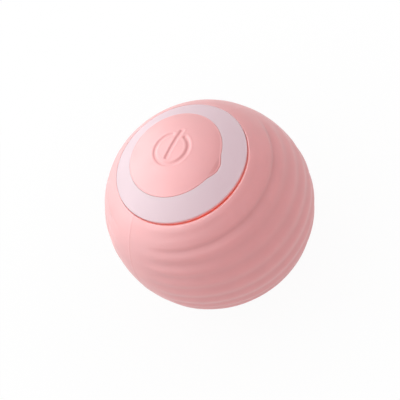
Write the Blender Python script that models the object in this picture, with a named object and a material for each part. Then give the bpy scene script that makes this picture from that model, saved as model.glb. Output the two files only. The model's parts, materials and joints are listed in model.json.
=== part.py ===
"""Self rolling cat ball: a hard ball in a ridged silicone sleeve, rolled by a motor and an eccentric weight.

Metres. The origin is the ball's centre, +Z runs out through the middle of the button, and +Y points to the
top of the button's symbol. The gear train, the weight and the button all sit on the Z axis.
"""

import math

import bmesh
import bpy

FULL_TURN = 2 * math.pi

# Driving sizes of the ball
BALL_DIAMETER = 0.0430
SLEEVE_WALL = 0.0018
SHELL_WALL = 0.0014
CLEARANCE = 0.0003
RUNNING_CLEARANCE = 0.0002
OVERRUN = 0.0010

BALL_RADIUS = BALL_DIAMETER / 2
SLEEVE_INNER_RADIUS = BALL_RADIUS - SLEEVE_WALL
SHELL_RADIUS = SLEEVE_INNER_RADIUS - CLEARANCE
SHELL_INNER_RADIUS = SHELL_RADIUS - SHELL_WALL

# Grip ridges of the sleeve, along its surface from the pole above the button
FIRST_GROOVE_ARC = 0.0211
RIDGE_PITCH = 0.00376
RIDGE_DEPTH = 0.00045
RIDGE_CREST = 0.00012
GROOVE_COUNT = 8
RIDGE_SPAN = math.radians(156)
RIDGE_START = math.radians(-100.5)
RIDGE_FADE = math.radians(22)
RIDGE_SQUEEZE_SHARE = 0.18
RIDGE_GROUPS = 2

# Button cap, light ring and the sleeve's lip round them
FACE_DROP = 0.0002
CAP_RADIUS = 0.0095
CAP_WALL = 0.0013
CAP_SKIRT = 0.0016
CAP_GAP = 0.00025
BUTTON_TRAVEL = 0.0004
PRESS_CLEARANCE = 0.00025
CAP_PIP_RADIUS = 0.0016
NAIL_LIP_REACH = 0.0007
NAIL_LIP_HEIGHT = 0.0005
NAIL_LIP_RISE = 0.0002
NAIL_LIP_SPAN = math.radians(36)
NAIL_LIP_FULL_SHARE = 1.6
NOTCH_SPAN = math.radians(44)
RING_WIDTH = 0.0040
RING_SKIRT_RADIUS = 0.0117
RING_SKIRT_WALL = 0.0015
RING_SKIRT_DEPTH = 0.0017
LEDGE_WIDTH = 0.00085
LEDGE_THICKNESS = 0.0006
EDGE_ROUND = 0.0003
LIP_GAP = 0.00045
LIP_ROUND = 0.0006

FACE_RADIUS = BALL_RADIUS - FACE_DROP
RING_BORE = CAP_RADIUS + CAP_GAP
RING_RADIUS = RING_BORE + RING_WIDTH
LIP_RADIUS = RING_RADIUS + LIP_GAP
SHELL_OPENING_RADIUS = RING_SKIRT_RADIUS + CLEARANCE

# Cap strap
STRAP_WIDTH = 0.0030
STRAP_THICKNESS = 0.0007
STRAP_SETBACK = 0.0003
BARB_WIDTH = 0.0044
BARB_THICKNESS = 0.0013
BARB_HEIGHT = 0.0009
TETHER_HEIGHT = 0.0008

# Deck and what stands on the board
DECK_THICKNESS = 0.0012
USB_WIDTH = 0.00894
USB_HEIGHT = 0.00316
USB_WALL = 0.0003
USB_LENGTH = 0.0065
USB_FLOOR = 0.0008
USB_SET_BACK = 0.0001
USB_OFFSET = 0.0050
TONGUE_WIDTH = 0.0067
TONGUE_THICKNESS = 0.0007
TONGUE_SET_BACK = 0.0008
PLUNGER_RADIUS = 0.0017
PLUNGER_STAND_OUT = 0.0012
SWITCH_SIDE = 0.0060
SWITCH_ROUND = 0.0005
SWITCH_HEIGHT = 0.0035
SWITCH_BORE_DEPTH = 0.0010
SWITCH_TRAVEL = 0.00025
BOARD_RADIUS = 0.0110
BOARD_THICKNESS = 0.0008
LED_CIRCLE = 0.0099
LED_LENGTH = 0.0020
LED_WIDTH = 0.00125
LED_HEIGHT = 0.0008
LED_COUNT = 4
CHIP_LENGTH = 0.0049
CHIP_WIDTH = 0.0039
CHIP_HEIGHT = 0.0014
CHARGE_CHIP_LENGTH = 0.0030
CHARGE_CHIP_WIDTH = 0.0017
CHARGE_CHIP_HEIGHT = 0.0011
CHIP_SPACING = 0.0011
SENSOR_RADIUS = 0.0013
SENSOR_LENGTH = 0.0044
SCREW_RADIUS = 0.00045
SCREW_HOLE_RADIUS = 0.00075
SCREW_HEAD_RADIUS = 0.00105
SCREW_HEAD_HEIGHT = 0.0005
BOARD_SCREW_CIRCLE = 0.0090
BOARD_SCREW_BITE = 0.0009

# Chassis
CHASSIS_THICKNESS = 0.0012
CHASSIS_EDGE_GAP = 0.0008
CHASSIS_WALL = 0.0010
STANDOFF_HEIGHT = 0.0006
STANDOFF_RADIUS = 0.0014
CHASSIS_SCREW_CIRCLE = 0.0129
CHASSIS_SCREW_COUNT = 3
CHASSIS_SCREW_BITE = 0.0026
SHELL_BOSS_RADIUS = 0.0014
HEAD_RECESS = 0.00055
ARM_WIDTH = 0.0018
ARM_THICKNESS = 0.0008
ARM_SPREAD = 0.0050
ARM_LENGTH = 0.0080
LEAD_RADIUS = 0.00035
LEAD_HOLE_RADIUS = 0.0007
LEAD_SPREAD = 0.0080

# Motor and battery
MOTOR_RADIUS = 0.0060
MOTOR_FLAT = 0.0050
MOTOR_CAP_LENGTH = 0.0014
MOTOR_BOSS_RADIUS = 0.0022
MOTOR_BOSS_HEIGHT = 0.0008
MOTOR_SHAFT_RADIUS = 0.0005
MOTOR_SHAFT_DEPTH = 0.0030
TERMINAL_WIDTH = 0.0016
TERMINAL_THICKNESS = 0.0004
TERMINAL_SPREAD = 0.0064
TERMINAL_HOLE_RADIUS = 0.0012
BATTERY_THICKNESS = 0.0036
BATTERY_WIDTH = 0.0136
BATTERY_HEADROOM = 0.0017
BATTERY_ROUND = 0.0009

# Gear train: four pairs of a ten tooth pinion and a twenty-four tooth wheel, between two plates
GEAR_MODULE = 0.0004
WHEEL_TEETH = 24
PINION_TEETH = 10
ADDENDUM_SHARE = 0.9
DEDENDUM_SHARE = 1.25
TOOTH_ROOT_SHARE = 1.45
TOOTH_TIP_SHARE = 0.70
GEAR_WIDTH = 0.0010
LAYER_GAP = 0.00035
PLATE_THICKNESS = 0.0008
PLATE_LOBE_RADIUS = 0.0016
PLATE_TAIL = 0.0032
POST_DISTANCE = 0.0083
POST_RADIUS = 0.0011
PIN_RADIUS = 0.0006
SHAFT_RADIUS = 0.0010
BUSH_RADIUS = 0.0020
BUSH_FLANGE_WIDTH = 0.0007
BUSH_FLANGE_THICKNESS = 0.0003
GEARBOX_SCREW_LENGTH = 0.0095

# Eccentric weight
WEIGHT_SHELL_GAP = 0.0008
WEIGHT_CORE_GAP = 0.00064
WEIGHT_TOP_GAP = 0.0012
WEIGHT_RUNNING_GAP = 0.00035
WEIGHT_FLOOR_THICKNESS = 0.0012
WEIGHT_FLOOR_GAP = 0.0002
WEIGHT_FOOT_WALL = 0.0013
WEIGHT_HUB_RADIUS = 0.0026
WEIGHT_SPAN = math.radians(170)
CLIP_THICKNESS = 0.0003
CLIP_RADIUS = 0.0023
CLIP_SPAN = math.radians(290)
SHAFT_TAIL = 0.0005

# Joint between the two half shells
TONGUE_RING_THICKNESS = 0.00055
TONGUE_RING_HEIGHT = 0.0016

# How finely round things are faceted
SLEEVE_COLUMNS = 42
SMOOTH_ROWS = 2
ROWS_PER_RIDGE = 4
POLE_ROWS = 5
INSIDE_ROWS = 8
SHELL_SIDES = 32
FACE_SIDES = 36
ROUND_SIDES = 16
SMALL_SIDES = 8
LIP_STEPS = 10
WEIGHT_STEPS = 13
WEIGHT_ROWS = 6


def height_on_sphere(radius, reach):
    """How high a sphere about the origin stands at a distance from the Z axis."""
    return math.sqrt(radius ** 2 - reach ** 2)


# Heights worked down from the button to the top of the motor's can
CAP_RIM_Z = height_on_sphere(FACE_RADIUS, CAP_RADIUS)
CAP_BOTTOM_Z = CAP_RIM_Z - CAP_SKIRT
DECK_TOP_Z = CAP_BOTTOM_Z - BUTTON_TRAVEL - PRESS_CLEARANCE
DECK_BOTTOM_Z = DECK_TOP_Z - DECK_THICKNESS
LEDGE_TOP_Z = DECK_BOTTOM_Z - CLEARANCE
LEDGE_BOTTOM_Z = LEDGE_TOP_Z - LEDGE_THICKNESS
RING_BOTTOM_Z = LEDGE_TOP_Z - RING_SKIRT_DEPTH
PLUNGER_TOP_Z = DECK_TOP_Z + PLUNGER_STAND_OUT
USB_TOP_Z = DECK_TOP_Z - USB_SET_BACK
USB_BOTTOM_Z = USB_TOP_Z - USB_LENGTH
BOARD_TOP_Z = USB_BOTTOM_Z - CLEARANCE
BOARD_BOTTOM_Z = BOARD_TOP_Z - BOARD_THICKNESS
SWITCH_TOP_Z = USB_BOTTOM_Z + SWITCH_HEIGHT
STANDOFF_TOP_Z = BOARD_BOTTOM_Z - CLEARANCE
CHASSIS_TOP_Z = STANDOFF_TOP_Z - STANDOFF_HEIGHT
CHASSIS_BOTTOM_Z = CHASSIS_TOP_Z - CHASSIS_THICKNESS
MOTOR_TOP_Z = CHASSIS_BOTTOM_Z - CLEARANCE
MOTOR_CAP_BOTTOM_Z = MOTOR_TOP_Z - MOTOR_CAP_LENGTH
MOTOR_CAN_TOP_Z = MOTOR_CAP_BOTTOM_Z - CLEARANCE

# Distances from the Z axis that several pieces share
WHEEL_RADIUS = GEAR_MODULE * WHEEL_TEETH / 2
PINION_RADIUS = GEAR_MODULE * PINION_TEETH / 2
CENTRE_DISTANCE = WHEEL_RADIUS + PINION_RADIUS
WHEEL_TIP_RADIUS = WHEEL_RADIUS + GEAR_MODULE * ADDENDUM_SHARE
PLATE_REACH = POST_DISTANCE + PLATE_LOBE_RADIUS
CRADLE_FLAT = MOTOR_FLAT + CLEARANCE + CHASSIS_WALL
CRADLE_RADIUS = MOTOR_RADIUS + CLEARANCE + CHASSIS_WALL
BATTERY_INNER_X = CRADLE_FLAT + CLEARANCE
BATTERY_OUTER_X = BATTERY_INNER_X + BATTERY_THICKNESS
BATTERY_X = BATTERY_INNER_X + BATTERY_THICKNESS / 2
BATTERY_REACH = math.hypot(BATTERY_OUTER_X, BATTERY_WIDTH / 2)
ARM_X = BATTERY_OUTER_X + CLEARANCE + ARM_THICKNESS / 2
CORE_REACH = max(BATTERY_REACH, CENTRE_DISTANCE + WHEEL_TIP_RADIUS)
WEIGHT_RADIUS = SHELL_INNER_RADIUS - WEIGHT_SHELL_GAP
WEIGHT_BORE = CORE_REACH + WEIGHT_CORE_GAP
SHAFT_BORE = SHAFT_RADIUS + RUNNING_CLEARANCE
PIN_BORE = PIN_RADIUS + RUNNING_CLEARANCE

# Heights worked up from the weight, whose foot just clears the shell; the motor's can fills what is left
WEIGHT_FLOOR_RADIUS = PLATE_REACH + WEIGHT_FLOOR_GAP
WEIGHT_FLOOR_TOP_Z = -height_on_sphere(WEIGHT_RADIUS, WEIGHT_FLOOR_RADIUS + WEIGHT_FOOT_WALL)
WEIGHT_BOTTOM_Z = WEIGHT_FLOOR_TOP_Z - WEIGHT_FLOOR_THICKNESS
CLIP_TOP_Z = WEIGHT_BOTTOM_Z - CLEARANCE
CLIP_BOTTOM_Z = CLIP_TOP_Z - CLIP_THICKNESS
SHAFT_END_Z = CLIP_BOTTOM_Z - SHAFT_TAIL
BUSH_BOTTOM_Z = WEIGHT_FLOOR_TOP_Z + WEIGHT_RUNNING_GAP
BUSH_FLANGE_TOP_Z = BUSH_BOTTOM_Z + BUSH_FLANGE_THICKNESS
OUTPUT_PLATE_BOTTOM_Z = BUSH_FLANGE_TOP_Z + CLEARANCE
OUTPUT_PLATE_TOP_Z = OUTPUT_PLATE_BOTTOM_Z + PLATE_THICKNESS
LAYER_PITCH = GEAR_WIDTH + LAYER_GAP
LAYER_Z = [OUTPUT_PLATE_TOP_Z + LAYER_GAP + k * LAYER_PITCH for k in (3, 2, 1, 0)]
MOTOR_PLATE_BOTTOM_Z = LAYER_Z[0] + GEAR_WIDTH + LAYER_GAP
MOTOR_PLATE_TOP_Z = MOTOR_PLATE_BOTTOM_Z + PLATE_THICKNESS
MOTOR_FRONT_Z = MOTOR_PLATE_TOP_Z + CLEARANCE
MOTOR_CAN_LENGTH = MOTOR_CAN_TOP_Z - MOTOR_FRONT_Z

# Turning a wheel by half a tooth puts a gap where a pinion's tooth comes
HALF_WHEEL_TOOTH = math.pi / WHEEL_TEETH
HALF_PINION_TOOTH = math.pi / PINION_TEETH


def clear_scene():
    for item in list(bpy.data.objects):
        bpy.data.objects.remove(item, do_unlink=True)


def finish(name, colour, roughness, metallic=0.0):
    """A Principled material; colour is linear red, green and blue."""
    material = bpy.data.materials.new(name)
    material.use_nodes = True
    shader = material.node_tree.nodes["Principled BSDF"]
    shader.inputs["Base Color"].default_value = (*colour, 1.0)
    shader.inputs["Roughness"].default_value = roughness
    shader.inputs["Metallic"].default_value = metallic
    return material


def add_empty(name, location):
    empty = bpy.data.objects.new(name, None)
    empty.location = location
    bpy.context.collection.objects.link(empty)
    return empty


def add_object(name, shape, material, location=(0, 0, 0), turn=0.0, parent=None):
    """Makes a named object from a bmesh, with smooth round faces and sharp corners."""
    bmesh.ops.recalc_face_normals(shape, faces=shape.faces)
    mesh = bpy.data.meshes.new(name)
    shape.to_mesh(mesh)
    shape.free()
    mesh.shade_smooth()
    mesh.set_sharp_from_angle(angle=math.radians(35))
    if material:
        mesh.materials.append(material)
    item = bpy.data.objects.new(name, mesh)
    item.location = location
    item.rotation_euler = (0, 0, turn)
    item.parent = parent
    bpy.context.collection.objects.link(item)
    return item


def add_guide(name, shape, location=(0, 0, 0), turn=0.0, parent=None):
    """A shape that only cuts or adds to another object."""
    guide = add_object(name, shape, None, location, turn, parent)
    guide.hide_render = True
    guide.display_type = "WIRE"
    return guide


def apply_guide(target, guide, operation="DIFFERENCE"):
    step = target.modifiers.new(guide.name, "BOOLEAN")
    step.operation = operation
    step.solver = "EXACT"
    step.object = guide


def swept(profile_at, sides, sweep=FULL_TURN, start=0.0):
    """Joins closed outlines of (distance from Z, height) points; profile_at gives the one at an angle."""
    shape = bmesh.new()
    whole = sweep == FULL_TURN
    columns = sides if whole else sides + 1
    on_axis = {i: shape.verts.new((0, 0, z)) for i, (r, z) in enumerate(profile_at(start)) if r == 0}
    rings = []
    for step in range(columns):
        angle = start + sweep * step / sides
        ring = []
        for i, (r, z) in enumerate(profile_at(angle)):
            point = on_axis.get(i)
            if point is None:
                point = shape.verts.new((r * math.cos(angle), r * math.sin(angle), z))
            ring.append(point)
        rings.append(ring)
    for step in range(sides):
        here, there = rings[step], rings[(step + 1) % columns]
        for i in range(len(here)):
            j = (i + 1) % len(here)
            corners = list(dict.fromkeys([here[i], there[i], there[j], here[j]]))
            if len(corners) > 2:
                shape.faces.new(corners)
    if not whole:
        shape.faces.new(rings[0])
        shape.faces.new(rings[-1])
    return shape


def turned(profile, sides, sweep=FULL_TURN, start=0.0):
    """Turns one closed outline of (distance from Z, height) points about Z."""
    return swept(lambda angle: profile, sides, sweep, start)


def circle(radius, sides):
    """A round outline whose corners stand half a step off the axes."""
    angles = [FULL_TURN * (k + 0.5) / sides for k in range(sides)]
    return [(radius * math.cos(a), radius * math.sin(a)) for a in angles]


def cylinder(radius, length, sides=ROUND_SIDES):
    """A cylinder that stands on the XY plane."""
    return prism(circle(radius, sides), length)


def tube(radius, bore, length, sides=ROUND_SIDES):
    return turned([(bore, 0), (radius, 0), (radius, length), (bore, length)], sides)


def prism(outline, length):
    """A straight solid that stands on the XY plane over a closed outline."""
    shape = bmesh.new()
    lower = [shape.verts.new((x, y, 0)) for x, y in outline]
    upper = [shape.verts.new((x, y, length)) for x, y in outline]
    shape.faces.new(lower)
    shape.faces.new(upper)
    for i in range(len(outline)):
        j = (i + 1) % len(outline)
        shape.faces.new([lower[i], lower[j], upper[j], upper[i]])
    return shape


def block(width, depth, length):
    """A box centred on Z that stands on the XY plane."""
    x, y = width / 2, depth / 2
    return prism([(-x, -y), (x, -y), (x, y), (-x, y)], length)


def rounded_block(width, depth, length, corner, steps=3):
    """A box with its four upright edges rounded."""
    outline = []
    for quarter, (sx, sy) in enumerate(((1, 1), (-1, 1), (-1, -1), (1, -1))):
        for step in range(steps + 1):
            angle = math.pi / 2 * (quarter + step / steps)
            outline.append((sx * (width / 2 - corner) + corner * math.cos(angle),
                            sy * (depth / 2 - corner) + corner * math.sin(angle)))
    return prism(outline, length)


def arc_points(radius, from_reach, to_reach, steps):
    """Points of a circle about the origin in the (reach, height) plane, above the middle, ends included."""
    first = math.asin(from_reach / radius)
    last = math.asin(to_reach / radius)
    angles = [first + (last - first) * k / steps for k in range(steps + 1)]
    return [(radius * math.sin(a), radius * math.cos(a)) for a in angles]


def flatted_circle(radius, flat, steps=6):
    """A circle about the origin cut off at +X and -X, as a small motor's can is."""
    half = math.acos(flat / radius)
    outline = []
    for side in (1, -1):
        for step in range(steps + 1):
            angle = half + (math.pi - 2 * half) * step / steps
            outline.append((side * radius * math.cos(angle), side * radius * math.sin(angle)))
    return outline


def ease(share):
    share = min(max(share, 0.0), 1.0)
    return share * share * (3 - 2 * share)


def ridge_strength(azimuth):
    """How strong the ridges are at a place round the sleeve, and how closely they are squeezed there."""
    step = FULL_TURN / RIDGE_GROUPS
    along = (azimuth - RIDGE_START) % step
    if along > RIDGE_SPAN:
        return 0.0, ease((along - RIDGE_SPAN) / (step - RIDGE_SPAN))
    strength = ease(along / RIDGE_FADE) * ease((RIDGE_SPAN - along) / RIDGE_FADE)
    return strength, 1 - ease(2 * along / RIDGE_SPAN)


def ridge_offset(phase):
    """Height of the ridges over the plain ball at a place counted in grooves, whole at a groove's bottom."""
    last = GROOVE_COUNT - 1
    if phase < -0.5:
        return RIDGE_CREST * ease((phase + 1) * 2)
    if phase > last + 0.5:
        return RIDGE_CREST * ease((last + 1 - phase) * 2)
    return RIDGE_CREST - RIDGE_DEPTH * (0.5 + 0.5 * math.cos(FULL_TURN * phase))


def sleeve_column(azimuth):
    """One line of (reach, height) points down the outside of the sleeve and up its inside."""
    strength, squeezed = ridge_strength(azimuth)
    pitch = RIDGE_PITCH / BALL_RADIUS * (1 - RIDGE_SQUEEZE_SHARE * squeezed)
    first = FIRST_GROOVE_ARC / BALL_RADIUS
    lip_edge = LIP_RADIUS + LIP_ROUND
    lip_polar = math.asin(lip_edge / BALL_RADIUS)
    ridges_from, ridges_to = first - pitch, first + GROOVE_COUNT * pitch
    lip_height = height_on_sphere(BALL_RADIUS, lip_edge)
    inside_top = height_on_sphere(SLEEVE_INNER_RADIUS, LIP_RADIUS)
    column = [(LIP_RADIUS, inside_top), (LIP_RADIUS, lip_height - LIP_ROUND / 2),
              (LIP_RADIUS + LIP_ROUND / 3, lip_height + LIP_ROUND / 5)]
    for step in range(SMOOTH_ROWS):
        polar = lip_polar + (ridges_from - lip_polar) * step / SMOOTH_ROWS
        column.append((BALL_RADIUS * math.sin(polar), BALL_RADIUS * math.cos(polar)))
    for step in range(ROWS_PER_RIDGE * (GROOVE_COUNT + 1) + 1):
        phase = step / ROWS_PER_RIDGE - 1
        radius = BALL_RADIUS + strength * ridge_offset(phase)
        polar = first + phase * pitch
        column.append((radius * math.sin(polar), radius * math.cos(polar)))
    for step in range(1, POLE_ROWS):
        polar = ridges_to + (math.pi - ridges_to) * step / POLE_ROWS
        column.append((BALL_RADIUS * math.sin(polar), BALL_RADIUS * math.cos(polar)))
    column.append((0, -BALL_RADIUS))
    column.append((0, -SLEEVE_INNER_RADIUS))
    lip_inside = math.asin(LIP_RADIUS / SLEEVE_INNER_RADIUS)
    for step in range(INSIDE_ROWS - 1, 0, -1):
        polar = lip_inside + (math.pi - lip_inside) * step / INSIDE_ROWS
        column.append((SLEEVE_INNER_RADIUS * math.sin(polar), SLEEVE_INNER_RADIUS * math.cos(polar)))
    return column


def make_silicone_sleeve(material):
    """The skin of the ball, whose grip ridges run round it in groups that fade out at their ends."""
    add_object("silicone_sleeve", swept(sleeve_column, SLEEVE_COLUMNS), material)


def make_upper_shell(material):
    """The half of the hard ball that holds the button end, with a groove for the lower half's tongue."""
    groove_radius = SHELL_INNER_RADIUS + TONGUE_RING_THICKNESS + CLEARANCE
    groove_top = TONGUE_RING_HEIGHT + CLEARANCE
    rim = height_on_sphere(SHELL_RADIUS, CLEARANCE / 2)
    profile = [(groove_radius, CLEARANCE / 2)]
    profile += arc_points(SHELL_RADIUS, rim, SHELL_OPENING_RADIUS, 5)
    groove_inner = height_on_sphere(SHELL_INNER_RADIUS, groove_top)
    profile += arc_points(SHELL_INNER_RADIUS, SHELL_OPENING_RADIUS, groove_inner, 4)
    profile.append((groove_radius, groove_top))
    shell = add_object("upper_shell", turned(profile, SHELL_SIDES), material)
    boss_bottom = CHASSIS_TOP_Z + CLEARANCE
    outside = height_on_sphere(SHELL_RADIUS, CHASSIS_SCREW_CIRCLE + SHELL_BOSS_RADIUS)
    boss_length = outside - CLEARANCE - boss_bottom
    for k in range(CHASSIS_SCREW_COUNT):
        place = chassis_screw_place(k, boss_bottom)
        boss = add_guide(f"shell_boss_{k + 1}", cylinder(SHELL_BOSS_RADIUS, boss_length, SMALL_SIDES), place)
        apply_guide(shell, boss, "UNION")
    for k in range(CHASSIS_SCREW_COUNT):
        place = chassis_screw_place(k, boss_bottom - OVERRUN)
        depth = OVERRUN + CHASSIS_SCREW_BITE + CLEARANCE
        bore = add_guide(f"shell_boss_bore_{k + 1}", cylinder(SCREW_HOLE_RADIUS, depth, SMALL_SIDES), place)
        apply_guide(shell, bore)


def chassis_screw_place(k, height):
    angle = math.pi / 2 + FULL_TURN * k / CHASSIS_SCREW_COUNT
    return (CHASSIS_SCREW_CIRCLE * math.cos(angle), CHASSIS_SCREW_CIRCLE * math.sin(angle), height)


def make_lower_shell(material):
    """The bowl half of the hard ball, with the tongue that locates the upper half."""
    rim = height_on_sphere(SHELL_RADIUS, CLEARANCE / 2)
    tongue_radius = SHELL_INNER_RADIUS + TONGUE_RING_THICKNESS
    tongue_inner = height_on_sphere(SHELL_INNER_RADIUS, TONGUE_RING_HEIGHT)
    profile = [(tongue_radius, -CLEARANCE / 2), (tongue_radius, TONGUE_RING_HEIGHT),
               (tongue_inner, TONGUE_RING_HEIGHT)]
    profile += [(r, -z) for r, z in arc_points(SHELL_INNER_RADIUS, SHELL_INNER_RADIUS, 0, 5)]
    profile += [(r, -z) for r, z in arc_points(SHELL_RADIUS, 0, rim, 6)]
    add_object("lower_shell", turned(profile, SHELL_SIDES), material)


def make_light_ring(material):
    """The milky ring round the button, with the ledge that carries the deck and a notch for the nail lip."""
    skirt_bore = RING_SKIRT_RADIUS - RING_SKIRT_WALL
    seat_radius = SLEEVE_INNER_RADIUS
    profile = [(skirt_bore, RING_BOTTOM_Z), (RING_SKIRT_RADIUS, RING_BOTTOM_Z),
               (RING_SKIRT_RADIUS, height_on_sphere(seat_radius, RING_SKIRT_RADIUS)),
               (RING_RADIUS, height_on_sphere(seat_radius, RING_RADIUS)),
               (RING_RADIUS, height_on_sphere(FACE_RADIUS, RING_RADIUS) - EDGE_ROUND)]
    profile += arc_points(FACE_RADIUS, RING_RADIUS - EDGE_ROUND, RING_BORE + EDGE_ROUND / 2, 3)
    profile += [(RING_BORE, height_on_sphere(FACE_RADIUS, RING_BORE) - EDGE_ROUND / 2),
                (RING_BORE, LEDGE_TOP_Z), (RING_BORE - LEDGE_WIDTH, LEDGE_TOP_Z),
                (RING_BORE - LEDGE_WIDTH, LEDGE_BOTTOM_Z), (skirt_bore, LEDGE_BOTTOM_Z)]
    ring = add_object("light_ring", turned(profile, FACE_SIDES), material)
    floor = nail_lip_bottom() - BUTTON_TRAVEL - PRESS_CLEARANCE
    root = CAP_RADIUS - OVERRUN

    def notch_outline(angle):
        reach = CAP_RADIUS + (NAIL_LIP_REACH + CLEARANCE) * crescent(angle, NOTCH_SPAN)
        return [(root, floor), (reach, floor), (reach, FACE_RADIUS), (root, FACE_RADIUS)]

    notch = swept(notch_outline, LIP_STEPS, NOTCH_SPAN, -NOTCH_SPAN / 2)
    apply_guide(ring, add_guide("nail_notch", notch))


def crescent(angle, span):
    """One in the middle of a span about +X, easing to nothing at its ends."""
    return ease(NAIL_LIP_FULL_SHARE * (1 - abs(2 * angle / span)))


def nail_lip_bottom():
    reach = CAP_RADIUS + NAIL_LIP_REACH
    return height_on_sphere(FACE_RADIUS + NAIL_LIP_RISE, reach) - NAIL_LIP_HEIGHT


def make_button_cap(material, hinge):
    """The silicone dome over the socket and switch, with its skirt, centre pip and nail lip."""
    inner = FACE_RADIUS - CAP_WALL
    skirt_bore = CAP_RADIUS - CAP_WALL
    pip_bottom = PLUNGER_TOP_Z + CLEARANCE
    profile = [(0, pip_bottom), (CAP_PIP_RADIUS, pip_bottom)]
    profile += arc_points(inner, CAP_PIP_RADIUS, skirt_bore, 3)
    profile += [(skirt_bore, CAP_BOTTOM_Z), (CAP_RADIUS, CAP_BOTTOM_Z),
                (CAP_RADIUS, CAP_RIM_Z - EDGE_ROUND / 2)]
    profile += arc_points(FACE_RADIUS, CAP_RADIUS - EDGE_ROUND / 2, 0, 7)
    home = [-value for value in hinge.location]
    cap = add_object("button_cap", turned(profile, FACE_SIDES), material, home, parent=hinge)
    root = CAP_RADIUS - CAP_WALL / 2
    bottom = nail_lip_bottom()

    def lip_outline(angle):
        bulge = crescent(angle, NAIL_LIP_SPAN)
        reach = CAP_RADIUS + NAIL_LIP_REACH * bulge
        tip = reach - EDGE_ROUND / 2
        rise = NAIL_LIP_RISE * (2 * bulge - 1)
        top = height_on_sphere(FACE_RADIUS + rise, tip)
        return [(root, bottom), (tip, bottom), (reach, (bottom + top) / 2), (tip, top),
                (root, height_on_sphere(FACE_RADIUS + rise, root))]

    lip = swept(lip_outline, LIP_STEPS, NAIL_LIP_SPAN, -NAIL_LIP_SPAN / 2)
    apply_guide(cap, add_guide("nail_lip", lip, home, parent=hinge), "UNION")


def strap_x():
    return -(CAP_RADIUS - CAP_WALL - STRAP_SETBACK - STRAP_THICKNESS / 2)


def make_cap_tether(material, hinge):
    """The upper end of the strap, which lifts with the cap."""
    place = (strap_x() - hinge.location.x, 0, DECK_TOP_Z + CLEARANCE - hinge.location.z)
    strap = block(STRAP_THICKNESS, STRAP_WIDTH, TETHER_HEIGHT)
    add_object("cap_tether", strap, material, place, parent=hinge)


def make_cap_anchor(material):
    """The lower end of the strap, held under the deck by its barb."""
    barb_bottom = DECK_BOTTOM_Z - CLEARANCE - BARB_HEIGHT
    place = (strap_x(), 0, barb_bottom)
    strap = block(STRAP_THICKNESS, STRAP_WIDTH, DECK_TOP_Z - barb_bottom)
    anchor = add_object("cap_anchor", strap, material, place)
    barb = block(BARB_THICKNESS, BARB_WIDTH, BARB_HEIGHT)
    apply_guide(anchor, add_guide("anchor_barb", barb, place), "UNION")


def stadium(width, height, steps=6):
    """A closed outline with two straight sides along X and round ends."""
    outline = []
    radius = height / 2
    for side in (1, -1):
        for step in range(steps + 1):
            angle = -math.pi / 2 + math.pi * step / steps
            x = width / 2 - radius + radius * math.cos(angle)
            outline.append((side * x, side * radius * math.sin(angle)))
    return outline


def make_port_deck(material):
    """The plate under the cap, with the socket's slot, the switch hole and the strap's slot."""
    deck = add_object("port_deck", cylinder(RING_BORE - CLEARANCE, DECK_THICKNESS, SHELL_SIDES), material,
                      (0, 0, DECK_BOTTOM_Z))
    depth = DECK_THICKNESS + 2 * OVERRUN
    below = DECK_BOTTOM_Z - OVERRUN
    slot = stadium(USB_WIDTH + 2 * CLEARANCE, USB_HEIGHT + 2 * CLEARANCE)
    apply_guide(deck, add_guide("deck_usb_slot", prism(slot, depth), (0, -USB_OFFSET, below)))
    hole = cylinder(PLUNGER_RADIUS + CLEARANCE, depth)
    apply_guide(deck, add_guide("deck_switch_hole", hole, (0, 0, below)))
    strap_slot = block(STRAP_THICKNESS + 2 * CLEARANCE, STRAP_WIDTH + 2 * CLEARANCE, depth)
    apply_guide(deck, add_guide("deck_strap_slot", strap_slot, (strap_x(), 0, below)))


def make_usb_port(steel, plastic):
    """An upright USB-C socket: a drawn steel shell with a plastic tongue in it."""
    place = (0, -USB_OFFSET, USB_BOTTOM_Z)
    shell = add_object("usb_port_shell", prism(stadium(USB_WIDTH, USB_HEIGHT), USB_LENGTH), steel, place)
    pocket = prism(stadium(USB_WIDTH - 2 * USB_WALL, USB_HEIGHT - 2 * USB_WALL), USB_LENGTH)
    apply_guide(shell, add_guide("usb_pocket", pocket, (0, -USB_OFFSET, USB_BOTTOM_Z + USB_FLOOR)))
    tongue_length = USB_LENGTH - USB_FLOOR - CLEARANCE - TONGUE_SET_BACK
    add_object("usb_port_tongue", block(TONGUE_WIDTH, TONGUE_THICKNESS, tongue_length), plastic,
               (0, -USB_OFFSET, USB_BOTTOM_Z + USB_FLOOR + CLEARANCE))


def make_switch(body_material, stem_material):
    """A push switch on the board and its tall stem, which the cap's pip presses."""
    body = add_object("tact_switch", rounded_block(SWITCH_SIDE, SWITCH_SIDE, SWITCH_HEIGHT, SWITCH_ROUND),
                      body_material, (0, 0, USB_BOTTOM_Z))
    bore = cylinder(PLUNGER_RADIUS + CLEARANCE, SWITCH_BORE_DEPTH + OVERRUN)
    apply_guide(body, add_guide("switch_bore", bore, (0, 0, SWITCH_TOP_Z - SWITCH_BORE_DEPTH)))
    stem_bottom = SWITCH_TOP_Z - SWITCH_BORE_DEPTH + SWITCH_TRAVEL + RUNNING_CLEARANCE
    length = PLUNGER_TOP_Z - stem_bottom
    outline = [(0, 0), (PLUNGER_RADIUS, 0), (PLUNGER_RADIUS, length - EDGE_ROUND),
               (PLUNGER_RADIUS - EDGE_ROUND, length), (0, length)]
    add_object("switch_plunger", turned(outline, ROUND_SIDES), stem_material, (0, 0, stem_bottom))


def board_screw_place(side, height):
    return (side * BOARD_SCREW_CIRCLE, 0, height)


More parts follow.
